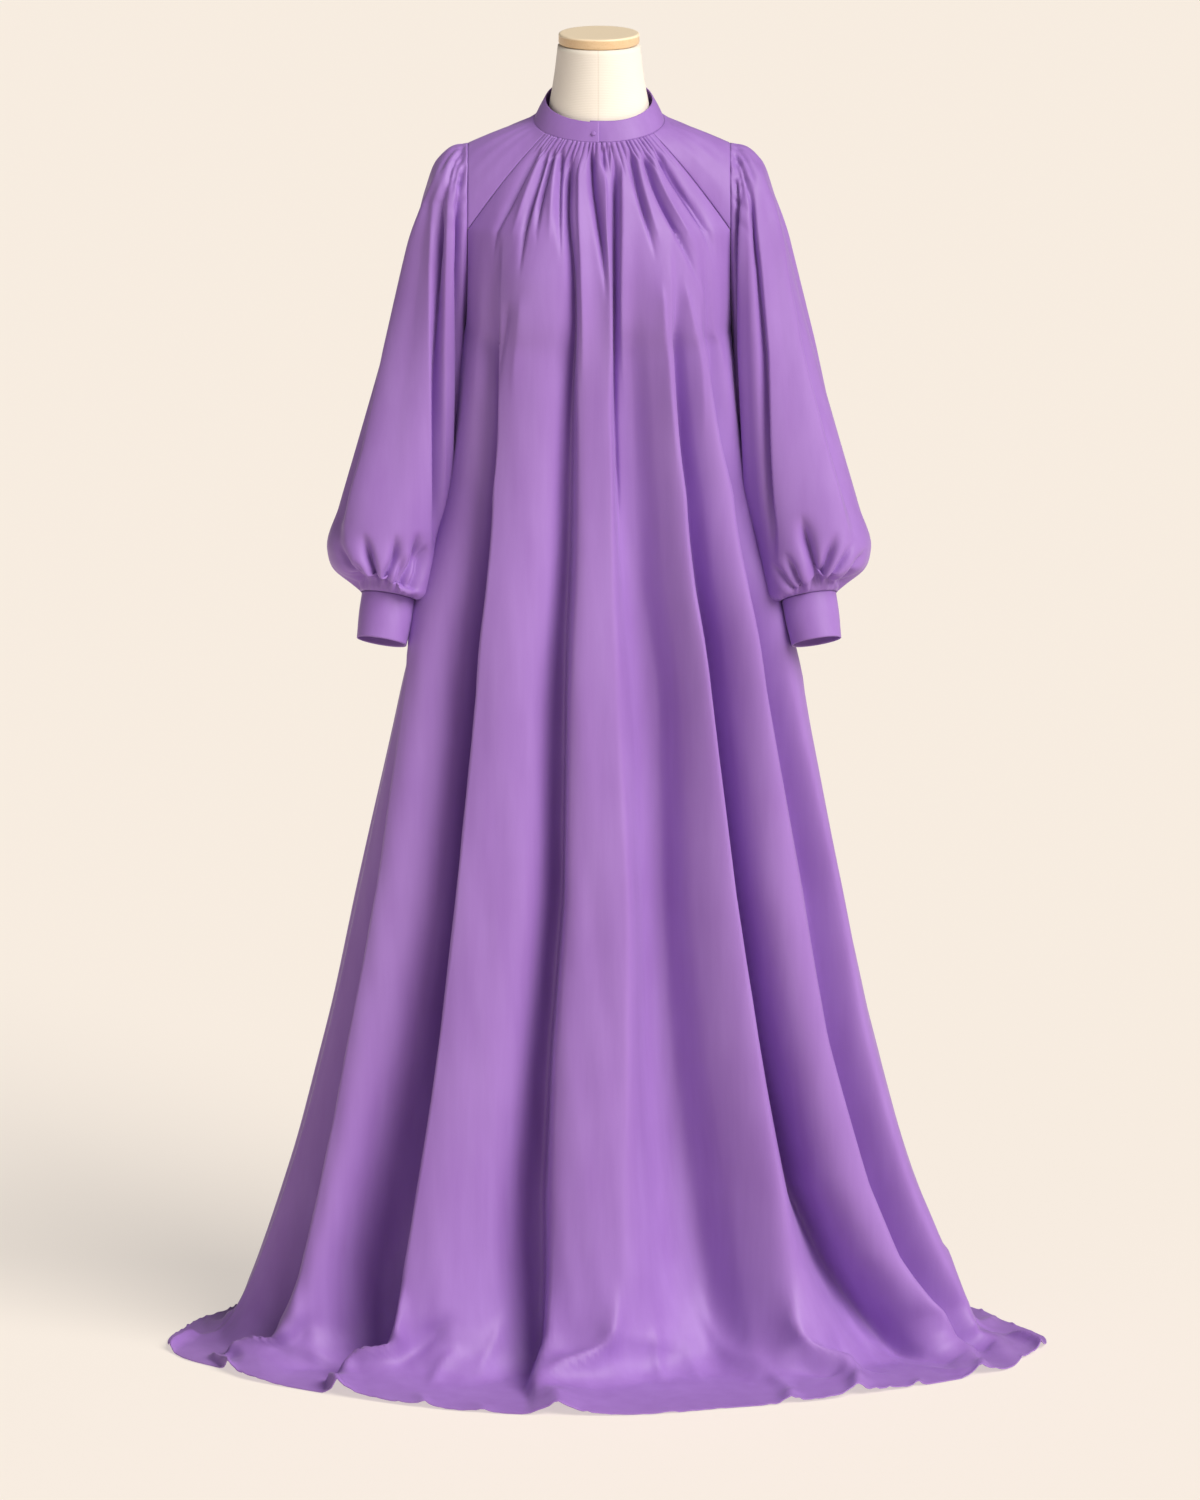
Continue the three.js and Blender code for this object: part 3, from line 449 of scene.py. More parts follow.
# Satin-backed polyester crepe, woven from hard-twisted yarn: a dull pebbled face with a low soft
# gloss and a light bloom at grazing angles. The pebble is 0.4 mm, too fine to show, and is drawn
# 1.6 mm wide. Fainter drags, 24 mm wide and 200 mm long, follow the cloth down.
DRAWN_PEBBLE = 1.6
DRAG = (23.8, 23.8, 200)
DYE_DRIFT = 200
crepe, crepe_shader = start_material("lilac crepe", "#a57ac4", {
    "Roughness": 0.52, "Specular IOR Level": 0.35,
    "Sheen Weight": 0.18, "Sheen Roughness": 0.45, "Sheen Tint": linear("#e9d3f6"),
})
tree = crepe.node_tree
place = add_node(tree, "ShaderNodeTexCoord").outputs["Object"]
pebble = add_node(tree, "ShaderNodeTexNoise", {"Vector": place, "Scale": 1 / (DRAWN_PEBBLE * MM),
                                               "Detail": 1.0})
drag_place = add_node(tree, "ShaderNodeMapping", {"Vector": place,
                                                  "Scale": [1 / (size * MM) for size in DRAG]})
drags = add_node(tree, "ShaderNodeTexNoise", {"Vector": drag_place.outputs[0], "Scale": 1.0, "Detail": 3.0,
                                              "Roughness": 0.55})
cloud = add_node(tree, "ShaderNodeTexNoise", {"Vector": place, "Scale": 1 / (DYE_DRIFT * MM),
                                              "Detail": 2.0})
# The colour drifts at random over DYE_DRIFT, and is painted darker in the drags' hollows as painted shade.
drift_and_drag_shade = add_node(tree, "ShaderNodeMath", {0: drags.outputs["Fac"], 1: cloud.outputs["Fac"]},
                 operation="ADD")
drift_and_drag_shade = add_node(tree, "ShaderNodeMapRange", {"Value": drift_and_drag_shade.outputs[0], "From Min": 0.7, "From Max": 1.3})
dye_and_drag_shade = add_node(tree, "ShaderNodeMix", {0: drift_and_drag_shade.outputs[0], 6: linear("#946bb9"), 7: linear("#9f78c4")},
               data_type="RGBA")
tree.links.new(dye_and_drag_shade.outputs[2], crepe_shader.inputs["Base Color"])
drag_bump = add_node(tree, "ShaderNodeBump", {"Height": drags.outputs["Fac"], "Strength": 0.3,
                                              "Distance": 0.001})
bump = add_node(tree, "ShaderNodeBump", {"Height": pebble.outputs["Fac"], "Strength": 0.18,
                                         "Distance": 0.0004, "Normal": drag_bump.outputs["Normal"]})
tree.links.new(bump.outputs["Normal"], crepe_shader.inputs["Normal"])


def sewn_piece(name, sheet, closed, flip):
    """A piece of crepe from its outer sheet, in place of the solid of the same name."""
    piece = new_piece(f"{name}_crepe", *cloth_wall(sheet, closed, flip), crepe, "crepe")
    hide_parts(name)
    return piece


round_shoulder = np.linspace(0, 1, YOKE_COLUMNS)
out_from_neck = np.linspace(0, 1, YOKE_ROWS)
neck_edge = ring_point(NECK_RING, YOKE_NECK_ANGLE + (180 - 2 * YOKE_NECK_ANGLE) * round_shoulder)[None]
arm_edge = armhole_point(YOKE_ARMHOLE_ANGLE * (1 - 2 * round_shoulder))[None]
part = out_from_neck[:, None]
yoke_grid = neck_edge + (arm_edge - neck_edge) * part[..., None]
crown = np.sin(np.pi * part)
over = np.sin(np.pi * round_shoulder)[None]
yoke_grid[..., 2] += crown * (YOKE_SEAM_BOW + (YOKE_CROWN - YOKE_SEAM_BOW) * over)
yoke_grid[..., 1] -= crown * YOKE_SEAM_BOW * np.cos(np.pi * round_shoulder)[None]
lift = np.zeros(yoke_grid.shape[:2])
for start, end, height, half_width in YOKE_DRAGS:
    away = (round_shoulder[None] - (start + (end - start) * part)) / half_width
    lift += height * np.exp(-away ** 2) * crown ** 0.7
from_panels = np.minimum(round_shoulder, 1 - round_shoulder)[None] * YOKE_LENGTHS["front to back"]
edge_gap = np.minimum(from_panels, (1 - part) * YOKE_LENGTHS["neck to armhole"])
lift *= np.clip(edge_gap / YOKE_SMOOTH_EDGE, 0, 1)
lift -= SEAM_DIP * np.exp(-(edge_gap / SEAM_REACH) ** 2)
yoke_grid += outward(yoke_grid, False, False) * lift[..., None]

for side, hand in (("left", -1), ("right", 1)):
    piece = sewn_piece(f"yoke_{side}", yoke_grid * (hand, 1, 1), False, hand < 0)

# ---- Front and back panels. Each is one wide piece of crepe, gathered along the neckline and plain
# down its slanting yoke seams, armholes and side seams. They hang from the breast in long folds that
# open towards the hem, and the last 200 mm lies on the floor all round.

PANEL_COLUMNS = 300
ROW_SPACING = {"down": [0, 12, 40, 130, 320, 700, 1380, 1460, 1640, 1690, 1705],
               "step": [1.8, 2.4, 4.5, 6.5, 12, 18, 18, 8, 6.5, 3.2, 2.0]}
# The edge it lies on and the place there, centre front y and z, centre back y and z, how far round
# the body the panel reaches in degrees, and the depth of its folds at the front and the back.
BODY_SECTIONS = [
    ("yoke", 0.0, -72, 1527.5, 58, 1562.5, 55.6, 0, 0),
    ("yoke", 0.3, -80, 1499, 72, 1530, 57, 0, 0),
    ("yoke", 0.65, -97, 1462, 82, 1480, 58, 0, 0),
    ("yoke", 1.0, -114, 1421, 88, 1428, 61, 0, 1),
    ("armhole", 112, -127, 1366, 91, 1368, 66, 2, 2.5),
    ("armhole", 146, -131, 1310, 92, 1310, 74, 5, 4.5),
    ("armhole", 180, -128, 1275, 92, 1280, 86, 9, 6),
    ("side", (162, 0, 1225), -125, 1220, 94, 1225, 90, 12, 8.5),
    ("side", (165, -1, 1161), -124, 1158, 97, 1161, 90, 15, 11),
    ("side", (180, -2, 1060), -126, 1060, 103, 1060, 90, 19, 13),
    ("side", (202, -3, 985), -129, 985, 109, 985, 90, 22, 12),
    ("side", (222, -4, 925), -132, 925, 113, 925, 90, 25, 12),
    ("side", (258, -5, 770), -136, 770, 118, 770, 90, 29, 22),
    ("side", (296, -6, 590), -142, 590, 123, 590, 90, 33, 31),
    ("side", (336, -7, 407), -148, 407, 130, 407, 90, 37, 35),
    ("side", (383, -8, 230), -155, 230, 137, 230, 90, 40, 38),
    ("side", (418, -9, 126), -165, 126, 145, 126, 90, 38, 37),
    ("side", (436, -10, 80), -176, 80, 152, 80, 90, 35, 34),
    ("side", (453, -10, 45), -191, 45, 163, 45, 90, 30, 29),
    ("side", (468, -11, 22), -212, 22, 178, 22, 90, 22, 21),
    ("side", (482, -11, 10), -238, 10, 196, 10, 90, 15, 14),
    ("side", (500, -12, 5), -268, 5, 215, 5, 90, 10, 9),
    ("side", (524, -12, 3), -312, 3, 245, 3, 90, 6, 5),
    ("side", (550, -12, 2.4), -365, 2.4, 285, 2.4, 90, 3, 2),
]
# The last sections whose edges are on the yoke's seam and on the armhole.
EDGES = [section[0] for section in BODY_SECTIONS]
YOKE_END = EDGES.index("armhole") - 1
ARMHOLE_END = EDGES.index("side") - 1
# Under the arms the front stays broad and turns its corner late, like a box with round corners.
FRONT_CORNER = {"height": [0, 470, 850, 985, 1161, 1225, 1290, 1400],
                "share": [0, 0, 0.5, 1, 1, 0.9, 0.4, 0]}
SQUARENESS = 3.2
# Breast fullness: how far down the front, how far it swells there, and where it is across.
BUST = {"down": [0, 30, 70, 115, 171, 227, 262, 318, 380], "swell": [0, 0, 4, 9, 14, 12, 7, 3, 1]}
BUST_ACROSS = 0.42
BUST_SPREAD = 0.26
# The hem as it lies: its direction from the centre front in degrees, and its reach against an oval
# of 550 mm by 353 mm (297 mm behind).
HEM_TURN = [-180, -125, -110, -104, -98, -93, -88, -84, -79, -73, -66, -58, -47, -32, -8, 12, 24, 46, 58,
            67, 74, 79, 84, 88.5, 93, 98, 104, 110, 125, 180]
HEM_REACH = [1, 1, 0.98, 0.94, 0.947, 0.957, 0.984, 0.992, 0.986, 0.954, 0.965, 0.953, 0.958, 0.987, 1.005,
             0.99, 0.96, 0.956, 0.957, 0.983, 1.02, 1.006, 1.026, 1.018, 0.978, 0.951, 0.96, 0.98, 1, 1]
HEM_STARTS = 1500

FOLD_HEIGHTS = [1294, 1225, 1098, 983, 849, 596, 409, 222, 126, 45, 14, 5, 2.4]
FRONT_FOLDS = [
    # name, x at each of FOLD_HEIGHTS, height against the section's fold depth, how far it leans
    ("left side furrow", (-172, -176, -194, -212, -231, -266, -299, -341,
        -373, -410, -425, -472, -502), -0.8, 0),
    ("first fold", (-157, -162, -182, -201, -219, -256, -290, -327,
        -349, -370, -395, -450, -472), 0.95, 0),
    ("first fold's shoulder", (-142, -146, -162, -181, -198, -232, -263, -302,
        -326, -349, -362, -414, -436), 0.6, -2),
    ("first furrow's start", (-132, -134, -146, -159, -175, -195, -229, -281,
        -310, -327, -325, -378, -398), -0.7, 0),
    ("first furrow", (-121, -122, -128, -137, -153, -175, -196, -227,
        -246, -263, -290, -346, -366), -1.85, 0),
    ("second fold", (-114, -114, -120, -128, -138, -161, -182, -209,
        -225, -237, -253, -316, -335), 1.0, -5),
    ("second fold's shoulder", (-88, -87, -89, -92, -104, -132, -149, -171,
        -189, -199, -216, -272, -292), 0.85, -3),
    ("second fold's slope", (-57, -54, -57, -62, -72, -79, -97, -122,
        -133, -143, -160, -198, -208), 0.1, 0),
    ("second furrow", (-31, -33, -36, -39, -44, -48, -64, -74,
        -72, -73, -94, -100, -98), -1.1, 0),
    ("third fold", (-23, -24, -23, -25, -31, -34, -47, -53,
        -55, -61, -72, -80, -76), 0.75, -3),
    ("third fold's middle", (-6, -6, -6, -6, -6, -9, -14, -17,
        -20, -31, -48, -74, -52), 0.95, 0),
    ("third fold's right edge", (13, 13, 12, 12, 16, 27, 25, 21,
        18, 1, -25, -66, -22), 0.9, 4),
    ("wide furrow", (20, 20, 25, 35, 50, 60, 65, 84,
        99, 113, 60, 40, 50), -0.75, 0),
    ("wide furrow's floor", (38, 40, 43, 50, 74, 79, 91, 114,
        132, 144, 140, 160, 180), -1.05, 0),
    ("fourth fold's slope", (60, 65, 75, 84, 101, 112, 132, 163,
        175, 194, 206, 240, 276), 0.1, 0),
    ("fourth fold", (81, 86, 97, 107, 125, 153, 178, 208,
        220, 236, 245, 295, 326), 1.0, 6),
    ("fourth furrow", (91, 98, 114, 125, 141, 173, 207, 251,
        300, 363, 392, 424, 456), -1.6, 0),
    ("fifth fold's slope", (102, 111, 130, 143, 161, 187, 222, 266,
        313, 377, 404, 438, 466), -0.2, 0),
    ("fifth fold", (116, 126, 147, 164, 185, 222, 255, 305,
        344, 401, 432, 462, 480), 1.0, 7),
    ("fifth furrow", (127, 138, 161, 179, 203, 259, 284, 334,
        373, 422, 450, 478, 502), -0.5, 0),
    ("sixth fold", (136, 151, 176, 196, 221, 273, 306, 357,
        395, 441, 460, 490, 526), 0.75, 6),
    ("right side fold", (158, 162, 189, 214, 240, 287, 326, 377,
        414, 462, 468, 500, 542), 0.35, 2),
]
BACK_FOLDS = [
    ("left side fold", (-152, -154, -164, -184, -232, -280, -319, -364,
        -391, -423, -439, -467, -514), 0.3, -2),
    ("first furrow's start", (-134, -136, -146, -160, -196, -233, -265, -305,
        -327, -355, -368, -392, -431), -0.5, 0),
    ("first furrow", (-122, -122, -130, -140, -172, -207, -234, -266,
        -286, -310, -322, -342, -376), -1.1, 0),
    ("first fold", (-112, -112, -116, -124, -152, -185, -212, -242,
        -264, -288, -306, -339, -370), 1.0, -8),
    ("first fold's shoulder", (-84, -84, -86, -92, -112, -141, -164, -189,
        -203, -220, -228, -243, -267), 0.8, -2),
    ("second furrow", (-44, -46, -50, -56, -70, -87, -101, -116,
        -124, -135, -140, -149, -164), -1.0, 0),
    ("second fold", (-30, -32, -34, -40, -52, -68, -80, -94,
        -104, -116, -127, -148, -160), 0.8, -6),
    ("second fold's shoulder", (-10, -10, -10, -12, -18, -25, -30, -37,
        -39, -43, -44, -47, -52), 0.9, 0),
    ("third furrow", (14, 16, 20, 24, 34, 41, 46, 51,
        55, 59, 61, 65, 72), -0.9, 0),
    ("third fold's slope", (40, 42, 46, 52, 66, 81, 92, 106,
        114, 123, 128, 136, 149), 0.2, 0),
    ("third fold", (66, 68, 74, 84, 104, 131, 152, 175,
        191, 209, 223, 249, 271), 1.0, 8),
    ("fourth furrow", (78, 81, 88, 98, 120, 151, 174, 199,
        214, 232, 241, 256, 281), -1.1, 0),
    ("fourth fold's slope", (98, 100, 108, 120, 146, 182, 210, 240,
        258, 279, 290, 308, 339), 0.1, 0),
    ("fourth fold", (122, 124, 134, 150, 184, 227, 261, 301,
        326, 356, 375, 410, 449), 1.0, 5),
    ("fifth furrow", (138, 140, 152, 170, 208, 256, 294, 337,
        362, 393, 407, 433, 477), -0.6, 0),
    ("right side fold", (153, 155, 165, 185, 233, 282, 321, 366,
        393, 426, 442, 470, 517), 0.3, 2),
]
# Creases as they would be marked on the cloth laid flat, in millimetres across from its middle and
# down from the neckline: the path, how high it stands (or how deep it is, below 0), its half widths
# on its left and on its right as one looks down it, and how far its top leans to the right.
FRONT_CREASES = [
    ("bust furrow 1", [(-33, 6), (-37, 45), (-38, 92), (-32, 157), (-30, 215), (-33, 290), (-38, 420)],
     -15, 7, 4, 0),
    ("bust tube 1", [(-22, 12), (-22, 60), (-22, 92), (-19, 157), (-18, 215), (-21, 320)], 6, 7, 10, -3),
    ("bust furrow 2", [(-10, 4), (-8, 58), (-4, 92), (1, 133), (6, 200)], -15, 3.5, 5, 0),
    ("bust tube 2", [(3, 20), (5, 60), (6, 110), (9, 170), (11, 249), (10, 330)], 5, 12, 5, 3),
    ("bust furrow 3", [(19, 6), (18.5, 92), (18, 180), (17.5, 249), (16, 330), (20, 430), (28, 620)],
     -16, 3.5, 5, 0),
    ("bust tube 3", [(29, 14), (29, 92), (28, 180), (28, 249), (30, 330)], 5, 5, 14, -2),
    ("short pleat 1", [(5, 6), (5, 40)], -6.0, 3, 4, 0),
    ("short pleat 2", [(12, 4), (12, 26)], -4.0, 3, 3, 0),
    ("fan furrow 1", [(38, 8), (47, 61), (57, 102), (68, 150)], -11, 3.5, 5, 0),
    ("fan ridge 1", [(44, 12), (54, 61), (65, 102), (76, 138)], 4, 5, 9, 0),
    ("fan furrow 2", [(54, 10), (68, 61), (83, 95), (106, 140), (124, 186)], -12, 3.5, 6, 0),
    ("fan ridge 2", [(61, 12), (77, 58), (94, 92), (118, 134), (130, 160)], 4, 5, 8, 0),
    ("fan furrow 3", [(70, 12), (86, 44), (113, 85), (130, 112), (147, 156)], -10, 3.5, 6, 0),
    ("fan ridge 3", [(76, 14), (94, 46), (120, 84), (138, 112)], 3.5, 5, 7, 0),
    ("fan furrow 4", [(80, 24), (98, 56), (124, 92), (146, 134), (152, 156)], -6, 4, 7, 0),
    ("fan furrow 5", [(-46, 8), (-49, 61), (-49, 92), (-46, 150)], -9, 5, 3.5, 0),
    ("fan ridge 5", [(-53, 12), (-57, 61), (-59, 100), (-60, 130)], 4, 6, 5, 0),
    ("fan furrow 6", [(-55, 10), (-65, 50), (-72, 84), (-76, 130)], -9, 5, 3.5, 0),
    ("fan ridge 6", [(-61, 14), (-72, 52), (-80, 86), (-84, 112)], 4, 6, 5, 0),
    ("fan furrow 7", [(-64, 12), (-77, 62), (-88, 104), (-95, 170)], -10, 7, 3.5, 0),
    ("fan ridge 7", [(-70, 14), (-88, 60), (-100, 96), (-108, 126)], 4, 7, 6, 0),
    ("fan furrow 8", [(-74, 12), (-90, 40), (-108, 75), (-128, 116), (-136, 150)], -7, 8, 4, 0),
    ("right crest 4", [(72, 170), (75, 240), (80, 300), (90, 420)], 4.6, 10, 5, 1),
    ("right crest 5", [(100, 170), (111, 226), (118, 280), (128, 400)], 4.4, 9, 5, 1),
    ("right crest 6", [(124, 170), (136, 240), (146, 340)], 3.2, 8, 5, 1),
    ("left furrow under bust", [(-108, 200), (-114, 250), (-120, 320)], -5, 10, 6, 0),
    ("left crest under bust", [(-92, 190), (-96, 250), (-104, 330)], 2.5, 8, 16, 0),
]
BACK_CREASES = [
    ("furrow 1", [(-30, 10), (-34, 60), (-36, 120), (-32, 200), (-40, 330)], -5.5, 8, 6, 0),
    ("furrow 2", [(-4, 8), (-2, 70), (2, 130), (0, 220)], -6.0, 6, 6, 0),
    ("furrow 3", [(22, 12), (24, 80), (30, 180), (32, 330), (36, 460)], -6.0, 6, 7, 0),
    ("furrow 4", [(46, 14), (60, 70), (78, 120), (92, 165)], -5.0, 5, 7, 0),
    ("furrow 5", [(66, 18), (88, 60), (118, 110), (134, 150)], -4.5, 6, 7, 0),
    ("furrow 6", [(-50, 14), (-62, 64), (-76, 120), (-82, 170)], -5.0, 7, 5, 0),
    ("furrow 7", [(-70, 20), (-92, 64), (-122, 116), (-136, 160)], -4.5, 7, 6, 0),
    ("tube 1", [(-16, 14), (-17, 80), (-16, 180), (-20, 330)], 3.5, 8, 8, 0),
    ("tube 2", [(34, 16), (44, 80), (54, 150), (60, 280)], 3.0, 7, 10, 0),
    ("long 1", [(-84, 250), (-88, 400), (-118, 620), (-150, 900)], 2.6, 12, 12, 0),
    ("long 2", [(92, 240), (98, 420), (124, 640), (160, 920)], 2.6, 12, 12, 0),
    ("second fold's edge", [(-92, 560), (-122, 800), (-158, 1180), (-184, 1380), (-192, 1450)],
     3.0, 6, 12, 0),
    ("centre fold's edge", [(-2, 560), (6, 800), (8, 1180), (12, 1400)], 3.0, 10, 6, 0),
    ("third fold's edge", [(92, 560), (122, 800), (164, 1180), (196, 1380), (206, 1460)],
     3.0, 12, 6, 0),
    ("fourth fold's edge", [(148, 560), (200, 800), (270, 1180), (322, 1380), (350, 1470)],
     3.0, 12, 7, 0),
    ("first fold's edge", [(-152, 560), (-206, 800), (-276, 1180), (-330, 1380), (-356, 1470)],
     3.0, 7, 12, 0),
    ("pucker 1", [(-92, 1510), (-108, 1580), (-112, 1680)], 5, 14, 10, 0),
    ("pucker 2", [(130, 1520), (146, 1590), (150, 1680)], 5, 10, 16, 0),
    ("pucker 3", [(-510, 1540), (-570, 1610), (-590, 1680)], 6, 16, 12, 0),
    ("pucker 4", [(520, 1540), (560, 1610), (600, 1680)], 6, 12, 16, 0),
]
# Knees, puckers and hem arches of the cloth that lies on the floor, in the same way, but with the
# first number of each place its x before any fold.
FRONT_POOL = [
    ("first knee", [(-358, 1430), (-366, 1500), (-389, 1535), (-419, 1556), (-452, 1576), (-486, 1640)],
     18, 26, 13, 2),
    ("first slope", [(-350, 1420), (-380, 1484), (-402, 1506), (-430, 1530), (-470, 1570)], 6, 18, 20, 0),
    ("first arch", [(-480, 1580), (-486, 1640), (-482, 1685)], 15, 12, 24, -2),
    ("second knee", [(-230, 1420), (-236, 1495), (-246, 1536), (-270, 1558), (-308, 1574), (-334, 1620)],
     22, 28, 14, 2),
    ("second slope", [(-226, 1420), (-255, 1480), (-280, 1512), (-314, 1550)], 7, 16, 20, 0),
    ("second arch", [(-334, 1580), (-342, 1640), (-336, 1685)], 19, 13, 26, -3),
    ("first hollow", [(-440, 1566), (-405, 1556), (-376, 1530), (-340, 1480)], -11, 16, 18, 0),
    ("second hollow", [(-290, 1566), (-256, 1560), (-216, 1520), (-170, 1465)], -11, 16, 18, 0),
    ("third fold's edge", [(-57, 1420), (-58, 1505), (-67, 1542), (-76, 1591), (-74, 1650)], 8, 12, 20, -2),
    ("third knee", [(18, 1410), (15, 1475), (7, 1516), (-12, 1540), (-38, 1558), (-59, 1576), (-73, 1617)],
     20, 26, 13, 2),
    ("centre arch", [(-66, 1590), (-54, 1640), (-50, 1685)], 15, 22, 28, 0),
    ("fourth knee", [(222, 1420), (230, 1495), (250, 1538), (278, 1566), (306, 1588), (318, 1640)],
     21, 14, 28, -2),
    ("fourth slope", [(120, 1410), (139, 1475), (162, 1508), (188, 1527), (224, 1540)], 5, 14, 18, 0),
    ("fourth hollow", [(236, 1552), (276, 1586), (308, 1606)], -9, 14, 12, 0),
    ("fifth hollow", [(270, 1480), (300, 1530), (336, 1570), (372, 1600)], -11, 18, 16, 0),
    ("curl", [(288, 1520), (312, 1580), (330, 1640), (336, 1685)], 9, 13, 16, 0),
    ("fourth arch", [(318, 1600), (330, 1685)], 9, 14, 16, 0),
    ("fifth knee", [(300, 1400), (325, 1475), (351, 1512), (380, 1549), (414, 1596), (446, 1650),
                    (468, 1685)], 13, 13, 30, -2),
    ("right light", [(366, 1440), (390, 1484), (410, 1500), (440, 1524), (478, 1556)], 7, 13, 18, 0),
    ("pucker 1", [(-160, 1566), (-137, 1516), (-115, 1460)], 6, 12, 11, 0),
    ("pucker 2", [(-216, 1620), (-199, 1560), (-168, 1510)], 6, 12, 11, 0),
    ("pucker 3", [(94, 1590), (76, 1530), (66, 1470)], 5, 12, 12, 0),
    ("pucker 4", [(104, 1480), (125, 1542), (148, 1610)], 5, 12, 13, 0),
    ("pucker 5", [(192, 1520), (222, 1580), (243, 1640), (248, 1685)], 7, 16, 14, 0),
    ("hem arch 4", [(234, 1620), (246, 1685)], 6, 16, 20, 0),
    ("hem arch 6", [(398, 1620), (410, 1685)], 8, 13, 14, 0),
    ("hem arch 7", [(460, 1620), (474, 1685)], 10, 11, 13, 0),
    ("hem arch 8", [(-232, 1630), (-218, 1685)], 6, 14, 16, 0),
    ("hem arch 9", [(-150, 1635), (-142, 1685)], 5, 15, 14, 0),
    ("hem arch 10", [(90, 1640), (84, 1685)], 4, 18, 15, 0),
    ("right tip", [(505, 1590), (526, 1640), (540, 1685)], 13, 12, 16, 2),
    ("left tip", [(-500, 1580), (-524, 1630), (-541, 1685)], 12, 16, 12, -2),
]
BACK_POOL = [
    ("knee 1", [(-322, 1400), (-342, 1470), (-372, 1520), (-410, 1560), (-430, 1600)], 14, 24, 13, 2),
    ("arch 1", [(-420, 1540), (-436, 1640)], 13, 13, 24, 0),
    ("knee 2", [(164, 1400), (182, 1470), (204, 1515), (240, 1545), (262, 1590)], 15, 13, 26, -2),
    ("arch 2", [(252, 1530), (268, 1640)], 15, 14, 22, 0),
    ("knee 3", [(-86, 1400), (-94, 1480), (-116, 1530), (-150, 1560)], 13, 24, 13, 2),
    ("arch 3", [(-136, 1540), (-152, 1640)], 10, 16, 20, 0),
    ("knee 4", [(294, 1400), (320, 1470), (352, 1530), (392, 1572)], 13, 12, 26, -2),
    ("arch 4", [(384, 1550), (404, 1640)], 9, 15, 14, 0),
    ("pucker 1", [(42, 1580), (27, 1525), (22, 1460)], 6, 12, 14, 0),
    ("arch 5", [(32, 1550), (40, 1640)], 7, 18, 16, 0),
    ("pucker 2", [(-230, 1580), (-214, 1530), (-196, 1470)], 6, 14, 12, 0),
    ("arch 6", [(-246, 1560), (-254, 1640)], 7, 14, 18, 0),
]
# The shares of a crease's length in which it rises and dies away: those of the bodice end in fine
# points, and those on the floor begin softly.
CREASE_ENDS = (0.12, 0.5)
POOL_CREASE_ENDS = (0.45, 0.3)
# Every crease: how round its crest is and how steep its sides are, against its half width, how far
# out it reaches, how much narrower it ends, and the steps of its path to each given place.
CREASE = {"round": 0.2, "steep": 1.5, "reach": 3, "narrows": 0.45, "steps": 5}
# The small unevenness of hanging cloth: height, and its size across and down.
RIPPLES = [(0.9, 130, 900), (0.35, 46, 420)]
RIPPLES_START = 120
RIPPLES_FULL = 520
# What such a swell is summed from: how many waves, the least and most of their turns to its size, and
# the sum that counts as 1 high.
WANDER = {"waves": 7, "turns": (0.5, 1.6), "peak": 3}
# The lift of the hem's edge off the floor.
HEM_WAVES = {"height": 2.2, "across": 26, "down": 4000, "reach": 16}
# Where the hem's outline turns round, and how late it takes over from the plain oval (1 is evenly).
HEM_CENTRE_Y = -12
HEM_SPREAD = 1.2
# No fold or crease moves the edge of a panel, and the cloth is free this far in from it.
HELD_EDGE = 12
# A crease that ends this near the hem is drawn on past it, so that it cuts the edge.
NEAR_HEM = 12
PAST_HEM = 30
# Pleats under the collar seam: how many, the share of the neckline that they take, and the least and
# most of their widths against each other, of their depths and of their lengths. They are full this
# far below the seam.
NECK_PLEATS = {"count": 29, "share": 0.97, "width": (0.55, 1.45), "depth": (3.0, 5.4), "length": (18, 52)}
PLEAT_START = 5
# Folds that crowd a panel's edge keep this far apart, as a share of a quarter turn round the body.
FOLD_MARGIN = 0.06
# The fold depth that the leans are given for.
LEAN_FOLD_DEPTH = 25
# A fold placed beyond the plain panel's side is carried out to its place: not at all below the first
# of these heights, and fully above the second.
PLACES_RULE = (300, 600)
# How the cloth comes down on the floor: the gap under it, how far above the hem's start it begins to
# land, and how softly.
FLOOR_GAP = 0.5
LANDING_STARTS = HEM_STARTS - 80
LANDING_ROUND = 2
ROW_SAMPLES = 6001


def ease(part):
    """A share from 0 to 1 that starts and ends softly."""
    part = np.clip(part, 0, 1)
    return part * part * (3 - 2 * part)


def length_along(points):
    """How far along a line each of its points is."""
    return np.concatenate([[0], np.cumsum(np.linalg.norm(np.diff(points, axis=0), axis=-1))])


def section_columns(face):
    """The sections as arrays: middle y and z, wrap, fold depth, and the length down the middle."""
    pick = (2, 3, 6, 7) if face < 0 else (4, 5, 6, 8)
    middle_y, middle_z, wrap, fold = (np.array([s[k] for s in BODY_SECTIONS], float) for k in pick)
    return middle_y, middle_z, wrap, fold, length_along(np.column_stack([middle_y, middle_z]))


def panel_edge(face, at, down):
    """Points along a panel's right-hand edge: yoke seam, armhole and side seam."""
    places = [section[1] for section in BODY_SECTIONS]
    part = smooth(at, down[:YOKE_END + 1], places[:YOKE_END + 1])
    angles = [YOKE_ARMHOLE_ANGLE] + places[YOKE_END + 1:ARMHOLE_END + 1]
    angle = smooth(at, down[YOKE_END:ARMHOLE_END + 1], angles)
    side = np.concatenate([armhole_point(-face * 180.0)[None], np.array(places[ARMHOLE_END + 1:], float)])
    on_side = smooth(at, down[ARMHOLE_END:], side)
    on_yoke = (at <= down[YOKE_END])[:, None]
    edge = np.where(on_yoke, yoke_seam_point(face, part), armhole_point(-face * angle))
    return np.where((at > down[ARMHOLE_END])[:, None], on_side, edge)


